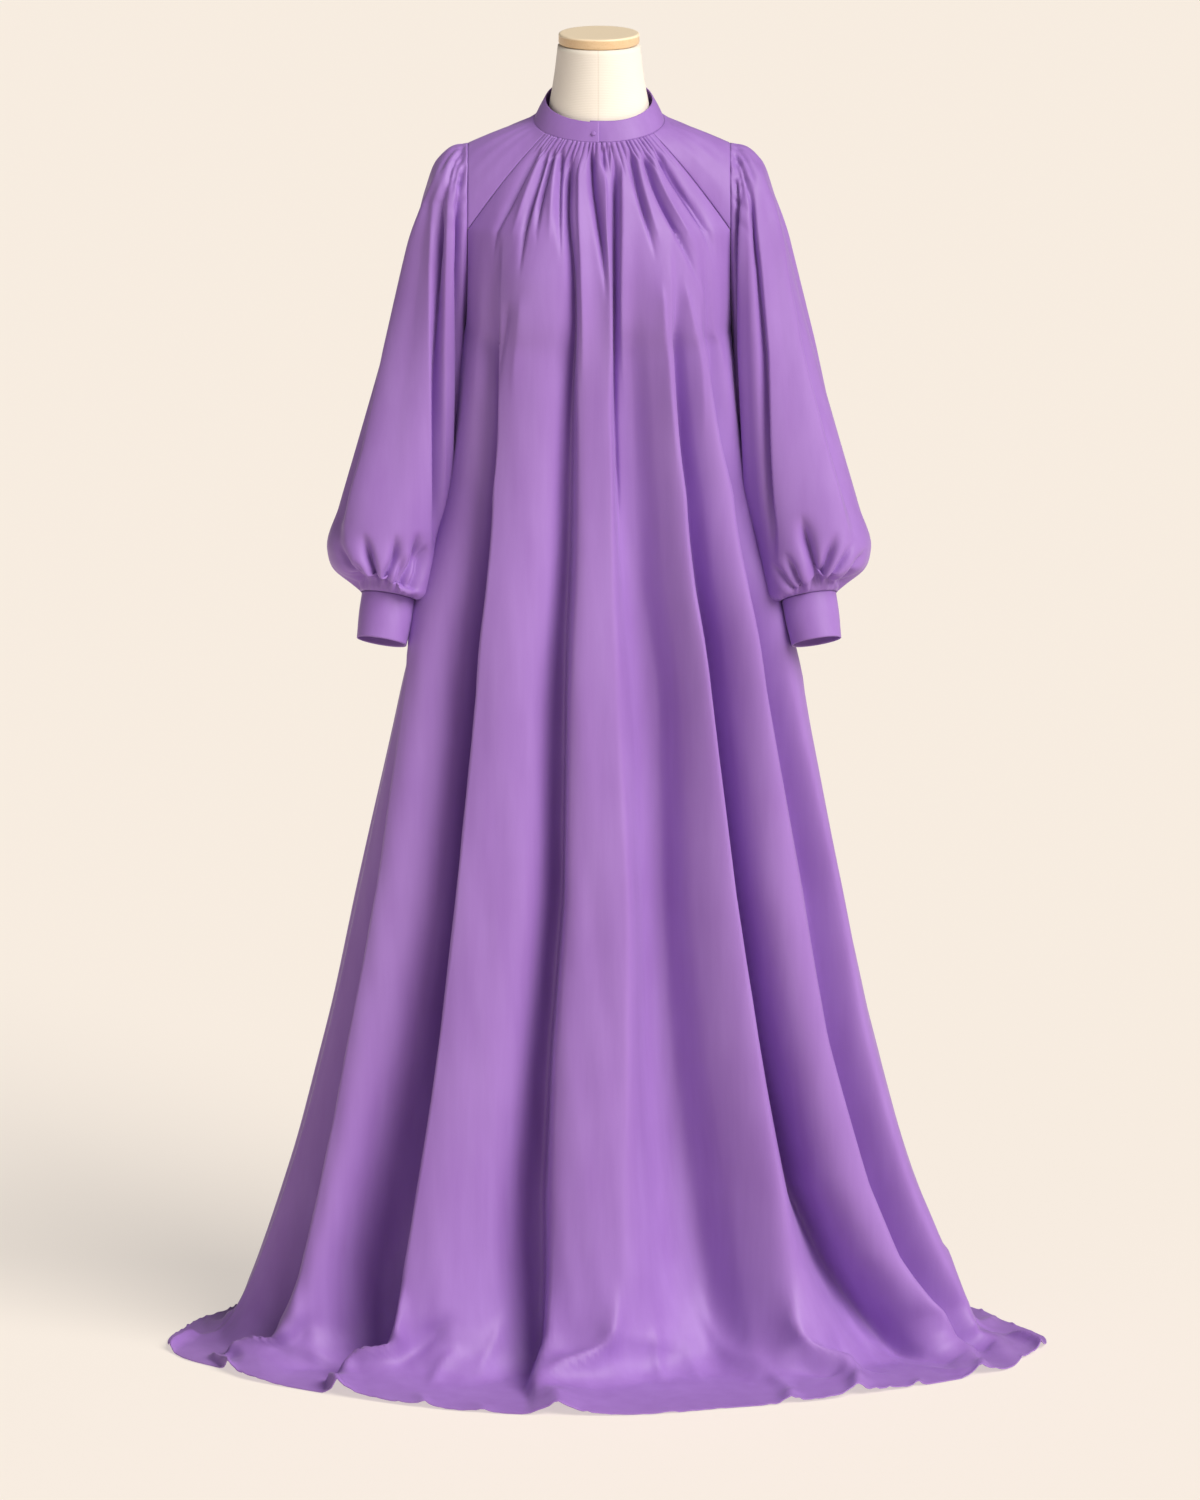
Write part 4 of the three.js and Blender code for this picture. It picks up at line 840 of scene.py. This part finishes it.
def smooth_panel(face, at, across):
    """A panel before any fold: rows at lengths down its middle, and columns from -1 to 1 across."""
    middle_y, middle_z, wrap, _, down = section_columns(face)
    edge = panel_edge(face, at, down)
    reach = np.radians(smooth(at, down, wrap))[:, None]
    turn = reach * across[None, :]
    share = (np.cos(turn) - np.cos(reach)) / (1 - np.cos(reach))
    height = smooth(at, down, middle_z)
    sideways = np.sin(turn) / np.sin(reach)
    x = edge[:, :1] * sideways
    forward = share
    if face < 0:
        square = (1 - np.clip(abs(sideways), 0, 1) ** SQUARENESS) ** (1 / SQUARENESS)
        amount = np.interp(height, FRONT_CORNER["height"], FRONT_CORNER["share"])[:, None]
        forward = share + (square - share) * amount
    y = edge[:, 1:2] + (smooth(at, down, middle_y)[:, None] - edge[:, 1:2]) * forward
    z = edge[:, 2:] + (height[:, None] - edge[:, 2:]) * share
    return np.stack([x, y, z], axis=-1)


def laid_flat(grid, at):
    """Where each point is on the cloth laid flat: its distance from the middle column, and down it."""
    steps = np.linalg.norm(np.diff(grid, axis=1), axis=-1)
    along = np.concatenate([np.zeros((len(grid), 1)), np.cumsum(steps, axis=1)], axis=1)
    along -= along[:, along.shape[1] // 2][:, None]
    return along, np.repeat(at[:, None], grid.shape[1], axis=1)


def crease(across, down, path, height, left, right, lean, start, end):
    """How far a crease lifts each point and shifts it across and down, narrower and fading at its end."""
    path = np.array(path, float)
    stops = length_along(path)
    fine = smooth(np.linspace(0, stops[-1], CREASE["steps"] * len(path)), stops, path)
    reach = CREASE["reach"] * max(left, right)
    low, high = fine.min(axis=0) - reach, fine.max(axis=0) + reach
    near = (across > low[0]) & (across < high[0]) & (down > low[1]) & (down < high[1])
    p = np.stack([across[near], down[near]], axis=-1)
    nearest = np.full(len(p), np.inf)
    signed = np.zeros(len(p))
    share = np.zeros(len(p))
    aside = np.zeros((len(p), 2))
    count = len(fine) - 1
    for k in range(count):
        step = fine[k + 1] - fine[k]
        rightwards = np.array([step[1], -step[0]]) / np.linalg.norm(step)
        part = np.clip((p - fine[k]) @ step / (step @ step), 0, 1)
        off = p - fine[k] - part[:, None] * step
        distance = np.linalg.norm(off, axis=1)
        closer = distance < nearest
        nearest = np.where(closer, distance, nearest)
        signed = np.where(closer, distance * np.sign(off @ rightwards), signed)
        share = np.where(closer, (k + part) / count, share)
        aside = np.where(closer[:, None], rightwards, aside)
    width = np.where(signed < 0, left, right)
    width = width * (1 - CREASE["narrows"] * np.clip((share - 1 + end) / end, 0, 1))
    out = signed / width
    slope = CREASE["steep"] * (CREASE["round"] - np.hypot(out, CREASE["round"]))
    shape = np.exp(slope) * np.exp(-(out / 2) ** 2)
    fade = ease(np.clip(share / start, 0, 1) * np.clip((1 - share) / end, 0, 1))
    moved = np.zeros(across.shape + (3,))
    moved[near] = (shape * fade)[:, None] * np.column_stack([aside * lean, np.full(len(p), height)])
    return moved


def neck_pleats(across, down, seed):
    """Fine uneven pleats under the collar seam, each with its own width, depth and length."""
    dice = np.random.default_rng(seed)
    count = NECK_PLEATS["count"]
    widths = dice.uniform(*NECK_PLEATS["width"], count)
    edges = NECK_PLEATS["share"] * (2 * np.concatenate([[0], np.cumsum(widths)]) / widths.sum() - 1)
    depths = dice.uniform(*NECK_PLEATS["depth"], count)
    lengths = dice.uniform(*NECK_PLEATS["length"], count)
    k = np.clip(np.searchsorted(edges, across) - 1, 0, count - 1)
    part = np.clip((across - edges[k]) / (edges[k + 1] - edges[k]), 0, 1)
    rounded = np.sin(np.pi * part) ** 0.6 - 0.65
    start = 0.5 + 0.5 * np.clip(down / PLEAT_START, 0, 1)
    end = np.clip(1 - down / lengths[k], 0, 1)
    return depths[k] * rounded * start * end ** 0.7


def wander(across, down, seed, wide, long):
    """A slow uneven swell over a sheet, about 1 high."""
    dice = np.random.default_rng(seed)
    total = np.zeros(across.shape)
    for _ in range(WANDER["waves"]):
        turn_across, turn_down = dice.uniform(*WANDER["turns"], 2) * dice.choice((-1, 1), 2)
        turns = across / wide * turn_across + down / long * turn_down
        total += np.sin(2 * np.pi * (turns + dice.uniform(0, 1)))
    return total / WANDER["peak"]


def skirt_folds(grid, at, folds, face):
    """Height of the long folds at each point against the fold depth, and how far they shift it."""
    _, middle_z, _, fold, down = section_columns(face)
    fold_depth = smooth(at, down, fold)
    row_height = smooth(at, down, middle_z)
    heights = np.array(FOLD_HEIGHTS[::-1], float)
    half_width = abs(grid[:, -1, 0])
    places = np.array([fold[1][::-1] for fold in folds], float)
    half_widths = np.interp(heights, row_height[::-1], half_width[::-1])
    levels = np.array([0.0] + [fold[2] for fold in folds] + [0.0])
    leans = np.array([0.0] + [fold[3] for fold in folds] + [0.0])
    count = len(folds)
    inside = 1 - FOLD_MARGIN * np.minimum(np.arange(1, count + 1), np.arange(count, 0, -1))
    lifts = np.zeros(grid.shape[:2])
    shifts = np.zeros(grid.shape[:2])
    for i, height in enumerate(row_height):
        place = np.array([np.interp(height, heights, row) for row in places])
        known = np.interp(height, heights, half_widths)
        stops = np.arcsin(np.clip(place / known, -1, 1)) * 2 / np.pi
        stops = np.clip(stops, -inside, inside)
        beyond = place - known * np.sin(stops * np.pi / 2)
        stops = np.concatenate([[-1.0], np.maximum.accumulate(stops + np.arange(count) * 1e-5), [1.0]])
        sideways = grid[i, :, 0] / half_width[i]
        turn = np.arcsin(np.clip(sideways, -1, 1)) * 2 / np.pi
        lifts[i] = smooth(turn, stops, levels, settled=True)
        ruled = np.clip((height - PLACES_RULE[0]) / (PLACES_RULE[1] - PLACES_RULE[0]), 0, 1)
        beyond = np.concatenate([[0], beyond, [0]]) * ruled
        leaning = leans * fold_depth[i] / LEAN_FOLD_DEPTH
        shifts[i] = smooth(turn, stops, leaning + beyond, settled=True)
    return lifts, shifts


def row_places(length):
    """Rows down a panel, closer together at the neckline and at the hem."""
    base = np.linspace(0, length, ROW_SAMPLES)
    step = np.interp(base * ROW_SPACING["down"][-1] / length, ROW_SPACING["down"], ROW_SPACING["step"])
    total = np.concatenate([[0], np.cumsum(1 / step[1:]) * (base[1] - base[0])])
    return np.interp(np.linspace(0, total[-1], int(total[-1]) + 1), total, base)


def folded_panel(face, folds, creases, pool, seed):
    """A panel with its folds, gathers and creases, and its length on the floor."""
    _, _, _, fold, down = section_columns(face)
    at = row_places(down[-1])
    columns = np.linspace(-1, 1, PANEL_COLUMNS)
    grid = smooth_panel(face, at, columns)
    across, along = laid_flat(grid, at)
    from_edge = np.minimum(across - across[:, :1], across[:, -1:] - across)
    lift, shift = skirt_folds(grid, at, folds, face)
    lift *= smooth(at, down, fold)[:, None]
    if face < 0:
        aside = (abs(columns) - BUST_ACROSS) / BUST_SPREAD
        swell = np.interp(at, BUST["down"], BUST["swell"])
        lift += swell[:, None] * np.exp(-aside ** 2)[None]
    moves = np.zeros(across.shape + (3,))
    for _, path, height, left, right, lean in creases:
        moves += crease(across, along, path, height, left, right, lean, *CREASE_ENDS)
    for _, path, height, left, right, lean in pool:
        on_rows = np.searchsorted(at, [d for _, d in path]).clip(0, len(at) - 1)
        path = [(np.interp(x, grid[row, :, 0], across[row]), d) for (x, d), row in zip(path, on_rows)]
        if path[-1][1] > down[-1] - NEAR_HEM:
            path.append((path[-1][0], path[-1][1] + PAST_HEM))
        moves += crease(across, along, path, height, left, right, lean, *POOL_CREASE_ENDS)
    at_hem = np.clip((along - down[-1] + HEM_WAVES["reach"]) / HEM_WAVES["reach"], 0, 1) ** 2
    waves = wander(across, along, seed + 3, HEM_WAVES["across"], HEM_WAVES["down"])
    moves[..., 2] += at_hem * np.maximum(waves, 0) * HEM_WAVES["height"]
    moves[..., 2] += neck_pleats(np.repeat(columns[None], len(at), axis=0), along, seed)
    free = np.clip((along - RIPPLES_START) / (RIPPLES_FULL - RIPPLES_START), 0, 1)
    for k, (height, wide, long) in enumerate(RIPPLES):
        moves[..., 2] += free * height * wander(across, along, seed + 1 + k, wide, long)
    moves[..., 2] += lift
    moves[..., 0] += shift
    moves *= ease(from_edge / HELD_EDGE)[..., None]
    has_seam = along < down[ARMHOLE_END]
    moves[..., 2] -= SEAM_DIP * np.exp(-(from_edge / SEAM_REACH) ** 2) * has_seam
    sideways = unit(np.gradient(grid, axis=1)) * moves[..., :1]
    downwards = unit(np.gradient(grid, axis=0)) * moves[..., 1:2]
    moved = grid + sideways + downwards + outward(grid, False, face > 0) * moves[..., 2:]
    turn = np.degrees(np.arctan2(moved[..., 0], HEM_CENTRE_Y - moved[..., 1]))
    reach = smooth(turn.ravel(), HEM_TURN, HEM_REACH).reshape(turn.shape)
    spread = np.clip((along - HEM_STARTS) / (down[-1] - HEM_STARTS), 0, 1) ** HEM_SPREAD
    scale = 1 + (reach - 1) * spread
    moved[..., 0] *= scale
    moved[..., 1] = (moved[..., 1] - HEM_CENTRE_Y) * scale + HEM_CENTRE_Y
    lowest = CLOTH + FLOOR_GAP
    above = moved[..., 2] - lowest
    landed = (above + np.hypot(above, LANDING_ROUND)) / 2
    moved[..., 2] = lowest + np.where(along > LANDING_STARTS, landed, above)
    return moved


for name, face, folds, creases, pool, seed, flat, flat_area in (
    ("front_panel", -1, FRONT_FOLDS, FRONT_CREASES, FRONT_POOL, 11, (1.60, 1.72), 1.66),
    ("back_panel", 1, BACK_FOLDS, BACK_CREASES, BACK_POOL, 23, (1.50, 1.66), 1.40),
):
    piece = sewn_piece(name, folded_panel(face, folds, creases, pool, seed), False, face > 0)

# ---- Sleeves. Full bishop sleeves cut in one piece: gathered over the top of the armhole, hanging in
# long folds, and gathered again into the cuff. Their seam runs down the inner side.

# Rings from the armhole to the cuff, for the right-hand sleeve: outer x and z, inner x and z, the
# middle and half depth in y, and how much higher its front is than its middle.
SLEEVE_RINGS = [
    (161, 1515, 161, 1289, 2, 60, 0),
    (177, 1513, 162, 1281, 2, 67, 0),
    (198, 1496, 162.5, 1262, 1, 72, 0),
    (213, 1458, 162.5, 1240, -1, 74, 0),
    (226, 1404, 162.5, 1213, -5, 73, 0),
    (245, 1330, 165, 1170, -11, 71, 0),
    (270, 1245, 173, 1115, -20, 68, 0),
    (298, 1150, 183, 1060, -30, 67, 0),
    (321, 1070, 194, 1012, -42, 68, 0),
    (335, 1018, 202, 975, -51, 67, 5),
    (327, 994, 207, 958, -56, 60, 11),
    (305, 976, 216, 951, -59, 47, 15),
]
SLEEVE_ROWS = 165
SLEEVE_COLUMNS = 220
CUFF = {"length": 57, "half_width": (34, 31), "half_depth": (31, 28), "top": (258.5, -60, 960),
        "forward_tilt": 21, "outward_tilt": 10}
SLEEVE_OVER_CUFF = 0.8
# Rows are this much closer together at the head and at the wrist.
SLEEVE_CROWDING = 0.06
# Pleats at the head and at the wrist, spread by chance: how many, the arc they take in degrees and
# where it starts, where in its own share of the arc each one is, their half width, the least and most
# of their depth, length and slant, and how deep they are at the seam and how far off they are full.
HEAD_PLEATS = {"count": 15, "arc": 156, "start": -78, "place": (0.2, 0.8), "half_width": 2.4,
               "depth": (1.6, 3.0), "length": (16, 44), "slant": (-0.05, 0.1), "at_seam": 0.3, "full": 4}
WRIST_PLEATS = {"count": 30, "arc": 360, "start": 0, "place": (0.1, 0.9), "half_width": 4.2,
                "depth": (2.5, 5.0), "length": (24, 60), "slant": (-0.05, 0.05), "at_seam": 0.35, "full": 7}
# Soft swells of the whole sleeve: waves round it, how far down it they turn by one radian, and where
# they start.
SLEEVE_SWELLS = [(3, 70, 0), (5, -110, 1)]
SLEEVE_SWELL = {"height": 0.7, "full": 80}
# The heights between which the long folds show, and how far in from these they are full.
SLEEVE_FOLDS_RUN = (1500, 1000)
SLEEVE_FOLDS_FADE = 110
OUTSIDE_FOLDS = 14
# Where front and back meet, their folds fade out over this share of the half depth. The sleeve's two
# ends are held, and its folds are full this far in from them.
FACE_FADE = 0.3
HELD_ENDS = 5


def cuff_ring(part, turn, out=0.0):
    """Points round the right-hand cuff, part of the way down it, from its outer side to its front."""
    forward = math.radians(CUFF["forward_tilt"])
    aside = math.radians(CUFF["outward_tilt"])
    down = np.array([
        math.sin(aside) * math.cos(forward),
        -math.sin(forward),
        -math.cos(aside) * math.cos(forward),
    ])
    forwards = unit(np.array([0, -1.0, 0]) - down * -down[1])
    outwards = np.cross(forwards, down)
    half_width = np.interp(part, (0, 1), CUFF["half_width"]) + out
    half_depth = np.interp(part, (0, 1), CUFF["half_depth"]) + out
    centre = np.array(CUFF["top"]) + down * part * CUFF["length"]
    sideways = np.cos(turn)[:, None] * half_width * outwards
    return centre + sideways + np.sin(turn)[:, None] * half_depth * forwards


turn = np.linspace(0, 2 * np.pi, SLEEVE_COLUMNS, endpoint=False)
rings = []
for outer_x, outer_z, inner_x, inner_z, centre_y, half_depth, front_rise in SLEEVE_RINGS:
    centre = np.array([(outer_x + inner_x) / 2, centre_y, (outer_z + inner_z) / 2])
    arm = np.array([(outer_x - inner_x) / 2, 0, (outer_z - inner_z) / 2])
    ring = centre + np.cos(turn)[:, None] * arm
    ring[:, 1] = centre_y - np.sin(turn) * half_depth
    ring[:, 2] += np.sin(turn) * front_rise
    rings.append(ring)
rings.append(cuff_ring(0, turn, SLEEVE_OVER_CUFF))
rings = np.array(rings)
ring_down = np.concatenate([[0], np.cumsum(np.linalg.norm(np.diff(rings, axis=0), axis=-1).mean(axis=1))])
sleeve_length = ring_down[-1]
rows = np.linspace(0, 1, SLEEVE_ROWS)
sleeve_at = sleeve_length * (rows - SLEEVE_CROWDING * np.sin(2 * np.pi * rows))
sleeve_grid = smooth(sleeve_at, ring_down, rings)
around = np.repeat(turn[None], SLEEVE_ROWS, axis=0)
sleeve_down = np.repeat(sleeve_at[:, None], SLEEVE_COLUMNS, axis=1)

# Long folds down the front of each sleeve: x at each of the heights, height against the plain sleeve,
# and how far it leans to the right. The back of each sleeve has those of the other one's front.
SLEEVE_HEIGHTS = [1504, 1451, 1371, 1267, 1145, 1054]
LEFT_SLEEVE_FOLDS = [
    ("outer hollow", (-197, -216, -240, -266, -296, -321), -8, 0),
    ("outer crease", (-192, -209, -228, -253, -279, -306), 6, -6),
    ("broad fold", (-187, -206, -217, -230, -246, -258), 2.5, 0),
    ("broad fold's edge", (-179, -204, -208, -208, -208, -207), 3, 1),
    ("front valley", (-175, -195, -199, -201, -200, -199), -18, 0),
    ("front tube", (-171, -184, -187, -189, -189, -189), 3, 0),
    ("front tube's edge", (-168, -178, -180, -179, -180, -181), 0, 3),
    ("seam valley", (-166, -172, -173, -173, -175, -177), -16, 0),
    ("seam tube", (-163, -165, -166, -167, -168, -170), 0, 0),
]
RIGHT_SLEEVE_FOLDS = [
    ("seam tube", (163, 164, 165, 166, 167, 170), 0, 0),
    ("seam valley", (165, 169, 169, 169, 172, 176), -16, 0),
    ("inner fold's edge", (167, 174, 174, 175, 180, 185), 2, -4),
    ("inner fold", (171, 179, 181, 184, 189, 195), 3, 0),
    ("front furrow's start", (174, 183, 188, 194, 199, 205), 1, 0),
    ("front furrow", (178, 187, 196, 205, 209, 215), -12, 0),
    ("front fold's edge", (183, 193, 203, 212, 216, 221), 3, -4),
    ("front fold", (188, 200, 212, 224, 234, 244), 3, 0),
    ("outer crease", (192, 209, 221, 241, 271, 297), 6, 5),
    ("outer hollow", (198, 216, 231, 253, 287, 314), -6, 0),
]
# Gathers of each sleeve: the path, in millimetres across from the garment's middle and down from
# GATHERS_FROM, the height (or depth), and the half widths on its left and its right.
GATHERS_FROM = 1600
GATHER_FULLNESS = 1.5
GATHER_ENDS = (0.4, 0.1)
LEFT_GATHERS = [
    ([(-322, 560), (-307, 596), (-290, 626)], -7, 9, 6),
    ([(-288, 548), (-282, 577), (-275, 607), (-273, 628)], -12, 10, 6),
    ([(-303, 584), (-291, 610), (-283, 626)], -6, 6, 5),
    ([(-250, 548), (-250, 583), (-260, 604), (-262, 628)], -11, 7, 8),
    ([(-236, 575), (-244, 605), (-251, 628)], -6, 6, 5),
    ([(-224, 548), (-223, 587), (-235, 609), (-241, 628)], -12, 8, 9),
    ([(-210, 566), (-217, 600), (-229, 626)], -8, 6, 6),
    ([(-198, 122), (-188, 99), (-176, 87), (-163, 79)], -2.8, 4, 4),
    ([(-187, 134), (-182, 110), (-173, 94), (-163, 86)], -3.6, 5, 4),
    ([(-182, 144), (-177, 120), (-171, 102), (-162, 92)], -2.8, 4, 4),
    ([(-172, 140), (-167, 116), (-162, 104)], -4.0, 4, 4),
    ([(-206, 124), (-194, 96), (-178, 80), (-162, 74)], -2.0, 5, 5),
]
RIGHT_GATHERS = [
    ([(247, 524), (253, 559), (262, 592), (268, 628)], -13, 8, 10),
    ([(228, 574), (240, 607), (253, 628)], -8, 6, 6),
    ([(212, 588), (228, 612), (242, 628)], -6, 6, 5),
    ([(290, 548), (280, 587), (273, 605), (274, 628)], -11, 9, 6),
    ([(313, 560), (296, 593), (287, 611), (284, 628)], -8, 6, 6),
    ([(330, 572), (312, 603), (294, 626)], -7, 6, 6),
    ([(201, 118), (190, 96), (178, 84), (162, 78)], -2.8, 4, 4),
    ([(192, 134), (186, 109), (176, 93), (162, 84)], -3.6, 5, 4),
    ([(183, 150), (179, 121), (172, 102), (161, 90)], -4.4, 5, 4),
    ([(175, 156), (173, 124), (168, 108), (161, 96)], -4.0, 5, 4),
    ([(169, 142), (165, 126), (161, 116)], -3.2, 4, 4),
    ([(210, 124), (197, 94), (180, 78), (162, 73)], -2.0, 5, 5),
]


def sleeve_moves(grid, folds, gathers):
    """How far the long folds and gathers move the points of one face of a sleeve: right and out."""
    x, z = grid[..., 0], grid[..., 2]
    heights = np.array(SLEEVE_HEIGHTS[::-1], float)
    places = [np.interp(z, heights, np.array(fold[1][::-1], float)) for fold in folds]
    places = [places[0] - OUTSIDE_FOLDS] + places + [places[-1] + OUTSIDE_FOLDS]
    count = len(places) - 1
    along = sum(np.clip((x - places[k]) / (places[k + 1] - places[k]), 0, 1) for k in range(count))
    lifts = smooth(along, np.arange(count + 1), [0, *[fold[2] for fold in folds], 0], settled=True)
    leans = smooth(along, np.arange(count + 1), [0, *[fold[3] for fold in folds], 0], settled=True)
    highest, lowest = SLEEVE_FOLDS_RUN
    from_ends = np.clip((highest - z) / SLEEVE_FOLDS_FADE, 0, 1)
    from_ends *= np.clip((z - lowest) / SLEEVE_FOLDS_FADE, 0, 1)
    moves = np.stack([leans, lifts], axis=-1) * ease(from_ends)[..., None]
    for path, height, left, right in gathers:
        height *= GATHER_FULLNESS
        moves[..., 1] += crease(x, GATHERS_FROM - z, path, height, left, right, 0, *GATHER_ENDS)[..., 2]
    return moves


dice = np.random.default_rng(5)
degrees_round = np.degrees(around)
from_cuff = sleeve_length - sleeve_down
tucks = np.zeros(around.shape)
for pleats, from_seam in ((HEAD_PLEATS, sleeve_down), (WRIST_PLEATS, from_cuff)):
    for k in range(pleats["count"]):
        middle = pleats["start"] + pleats["arc"] * (k + dice.uniform(*pleats["place"])) / pleats["count"]
        depth, length, slant = (dice.uniform(*pleats[name]) for name in ("depth", "length", "slant"))
        off = (degrees_round - middle - slant * from_seam + 180) % 360 - 180
        fade = np.clip(from_seam / pleats["full"], pleats["at_seam"], 1)
        fade = fade * np.clip(1 - from_seam / length, 0, 1) ** 0.8
        tucks -= depth * fade * np.exp(-(off / pleats["half_width"]) ** 2)
swells = sum(np.sin(waves * around + sleeve_down / long + start) for waves, long, start in SLEEVE_SWELLS)
swells *= SLEEVE_SWELL["height"] * np.clip(sleeve_down / SLEEVE_SWELL["full"], 0, 1)
tucks += swells * np.sin(np.pi * rows)[:, None]
tucks -= SEAM_DIP * np.exp(-(sleeve_down / SEAM_REACH) ** 2)
front_share = np.clip(np.sin(around) / FACE_FADE, 0, 1)
back_share = np.clip(-np.sin(around) / FACE_FADE, 0, 1)
ends_held = np.clip(sleeve_down / HELD_ENDS, 0, 1) * np.clip(from_cuff / HELD_ENDS, 0, 1)
flipped = np.array([-1, 1, 1])

for side, hand, front_moves, back_moves in (
    ("left", -1, (LEFT_SLEEVE_FOLDS, LEFT_GATHERS), (RIGHT_SLEEVE_FOLDS, RIGHT_GATHERS)),
    ("right", 1, (RIGHT_SLEEVE_FOLDS, RIGHT_GATHERS), (LEFT_SLEEVE_FOLDS, LEFT_GATHERS)),
):
    plain = sleeve_grid * (hand, 1, 1)
    moves = sleeve_moves(plain, *front_moves) * front_share[..., None]
    moves += sleeve_moves(plain * flipped, *back_moves) * back_share[..., None] * (-1, 1)
    moves[..., 1] += tucks
    moves *= ends_held[..., None]
    sheet = plain + outward(plain, True, hand > 0) * moves[..., 1:]
    sheet[..., 0] += moves[..., 0]
    piece = sewn_piece(f"sleeve_{side}", sheet, True, hand > 0)

# ---- Cuffs. Plain straight bands of doubled crepe, one round each wrist. Each is folded at its lower
# edge, and the gathered end of the sleeve is sewn into its upper one.

CUFF_ROWS = 30
CUFF_COLUMNS = 160
CUFF_SWELL = {"even": 0.5, "uneven": 0.35}
cuff_turn = np.linspace(0, 2 * np.pi, CUFF_COLUMNS, endpoint=False)
cuff_part = np.linspace(0, 1, CUFF_ROWS)[:, None]
cuff_grid = np.array([cuff_ring(part, cuff_turn) for part in cuff_part[:, 0]])
waves = np.sin(2 * cuff_turn + 4 * cuff_part)
swell = np.sin(np.pi * cuff_part) * (CUFF_SWELL["even"] + CUFF_SWELL["uneven"] * waves)
cuff_grid += outward(cuff_grid, True, True) * swell[..., None]
for side, hand in (("left", -1), ("right", 1)):
    piece = sewn_piece(f"cuff_{side}", cuff_grid * (hand, 1, 1), True, hand > 0)

# ---- Collar. A standing band of doubled crepe, sewn round the neckline. Its left end laps over its
# right end at the centre front, where one small covered button holds it.

COLLAR_TOP = {"half_width": 66, "half_depth": 57, "centre_y": -5, "side_z": 1571, "front_drop": 20}
COLLAR_LAP = 14
COLLAR_LAP_DEPTH = 2.8
COLLAR_LOW_TUCK = 1.6
# How many degrees round the collar its lapped-under end takes to come out, along each edge.
COLLAR_TUCK_ENDS = {"upper": 30, "lower": 8}
COLLAR_SWELL = {"even": 0.5, "uneven": 0.3, "waves": 5}
COLLAR_ROWS = 26
COLLAR_COLUMNS = 300
lap_angle = math.degrees(COLLAR_LAP / NECK_RING["half_width"])
collar_turn = np.linspace(-lap_angle, 360, COLLAR_COLUMNS)
tucked = 1 - ease(collar_turn / COLLAR_TUCK_ENDS["upper"])
low_tuck = 1 - np.clip(collar_turn / COLLAR_TUCK_ENDS["lower"], 0, 1)
collar_part = np.linspace(0, 1, COLLAR_ROWS)[:, None]
inset = COLLAR_LAP_DEPTH * tucked * (1 - collar_part) + COLLAR_LOW_TUCK * low_tuck * collar_part
low = ring_point(NECK_RING, collar_turn, inset)
high = ring_point(COLLAR_TOP, collar_turn, inset)
collar_grid = high + (low - high) * collar_part[..., None]
waves = np.sin(np.radians(collar_turn) * COLLAR_SWELL["waves"])
swell = np.sin(np.pi * collar_part) * (COLLAR_SWELL["even"] + COLLAR_SWELL["uneven"] * waves)
collar_grid += outward(collar_grid, False, False) * swell[..., None]
collar = sewn_piece("collar", collar_grid, False, False)

# ---- Collar button. A small domed button covered in the same crepe. It is sewn to the collar's right
# end and goes through its left one, 7 mm from that end's edge.

BUTTON = {"radius": 2.8, "height": 1.8, "from_lap_edge": 7.3, "up_collar": 0.42, "gap": 0.6}
# The angles at which its outline starts and ends, and how much of its height is dome.
BUTTON_OUTLINE = (-0.9, 1.5)
BUTTON_DOME = 0.58
BUTTON_RINGS = 12
BUTTON_COLUMNS = 40
button_angle = -math.degrees(BUTTON["from_lap_edge"] / NECK_RING["half_width"])
low, high = ring_point(NECK_RING, button_angle), ring_point(COLLAR_TOP, button_angle)
up = unit(high - low)
along = unit(ring_point(NECK_RING, button_angle + 1) - ring_point(NECK_RING, button_angle - 1))
out = np.cross(along, up)
centre = low + (high - low) * BUTTON["up_collar"] + out * BUTTON["gap"]
turn = np.linspace(0, 2 * np.pi, BUTTON_COLUMNS, endpoint=False)
button_rings = []
for bend in np.linspace(*BUTTON_OUTLINE, BUTTON_RINGS):
    radius = BUTTON["radius"] * math.cos(bend) ** 0.8
    height = BUTTON["height"] * (1 - BUTTON_DOME + BUTTON_DOME * math.sin(bend))
    rim = np.cos(turn)[:, None] * along + np.sin(turn)[:, None] * up
    button_rings.append(centre + out * height + radius * rim)
button = new_piece("collar_button_crepe", *solid_of_rings(np.array(button_rings)), crepe, "crepe")
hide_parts("collar_button")

# ---- Sizes: the bounds of the drawn object.

low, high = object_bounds()
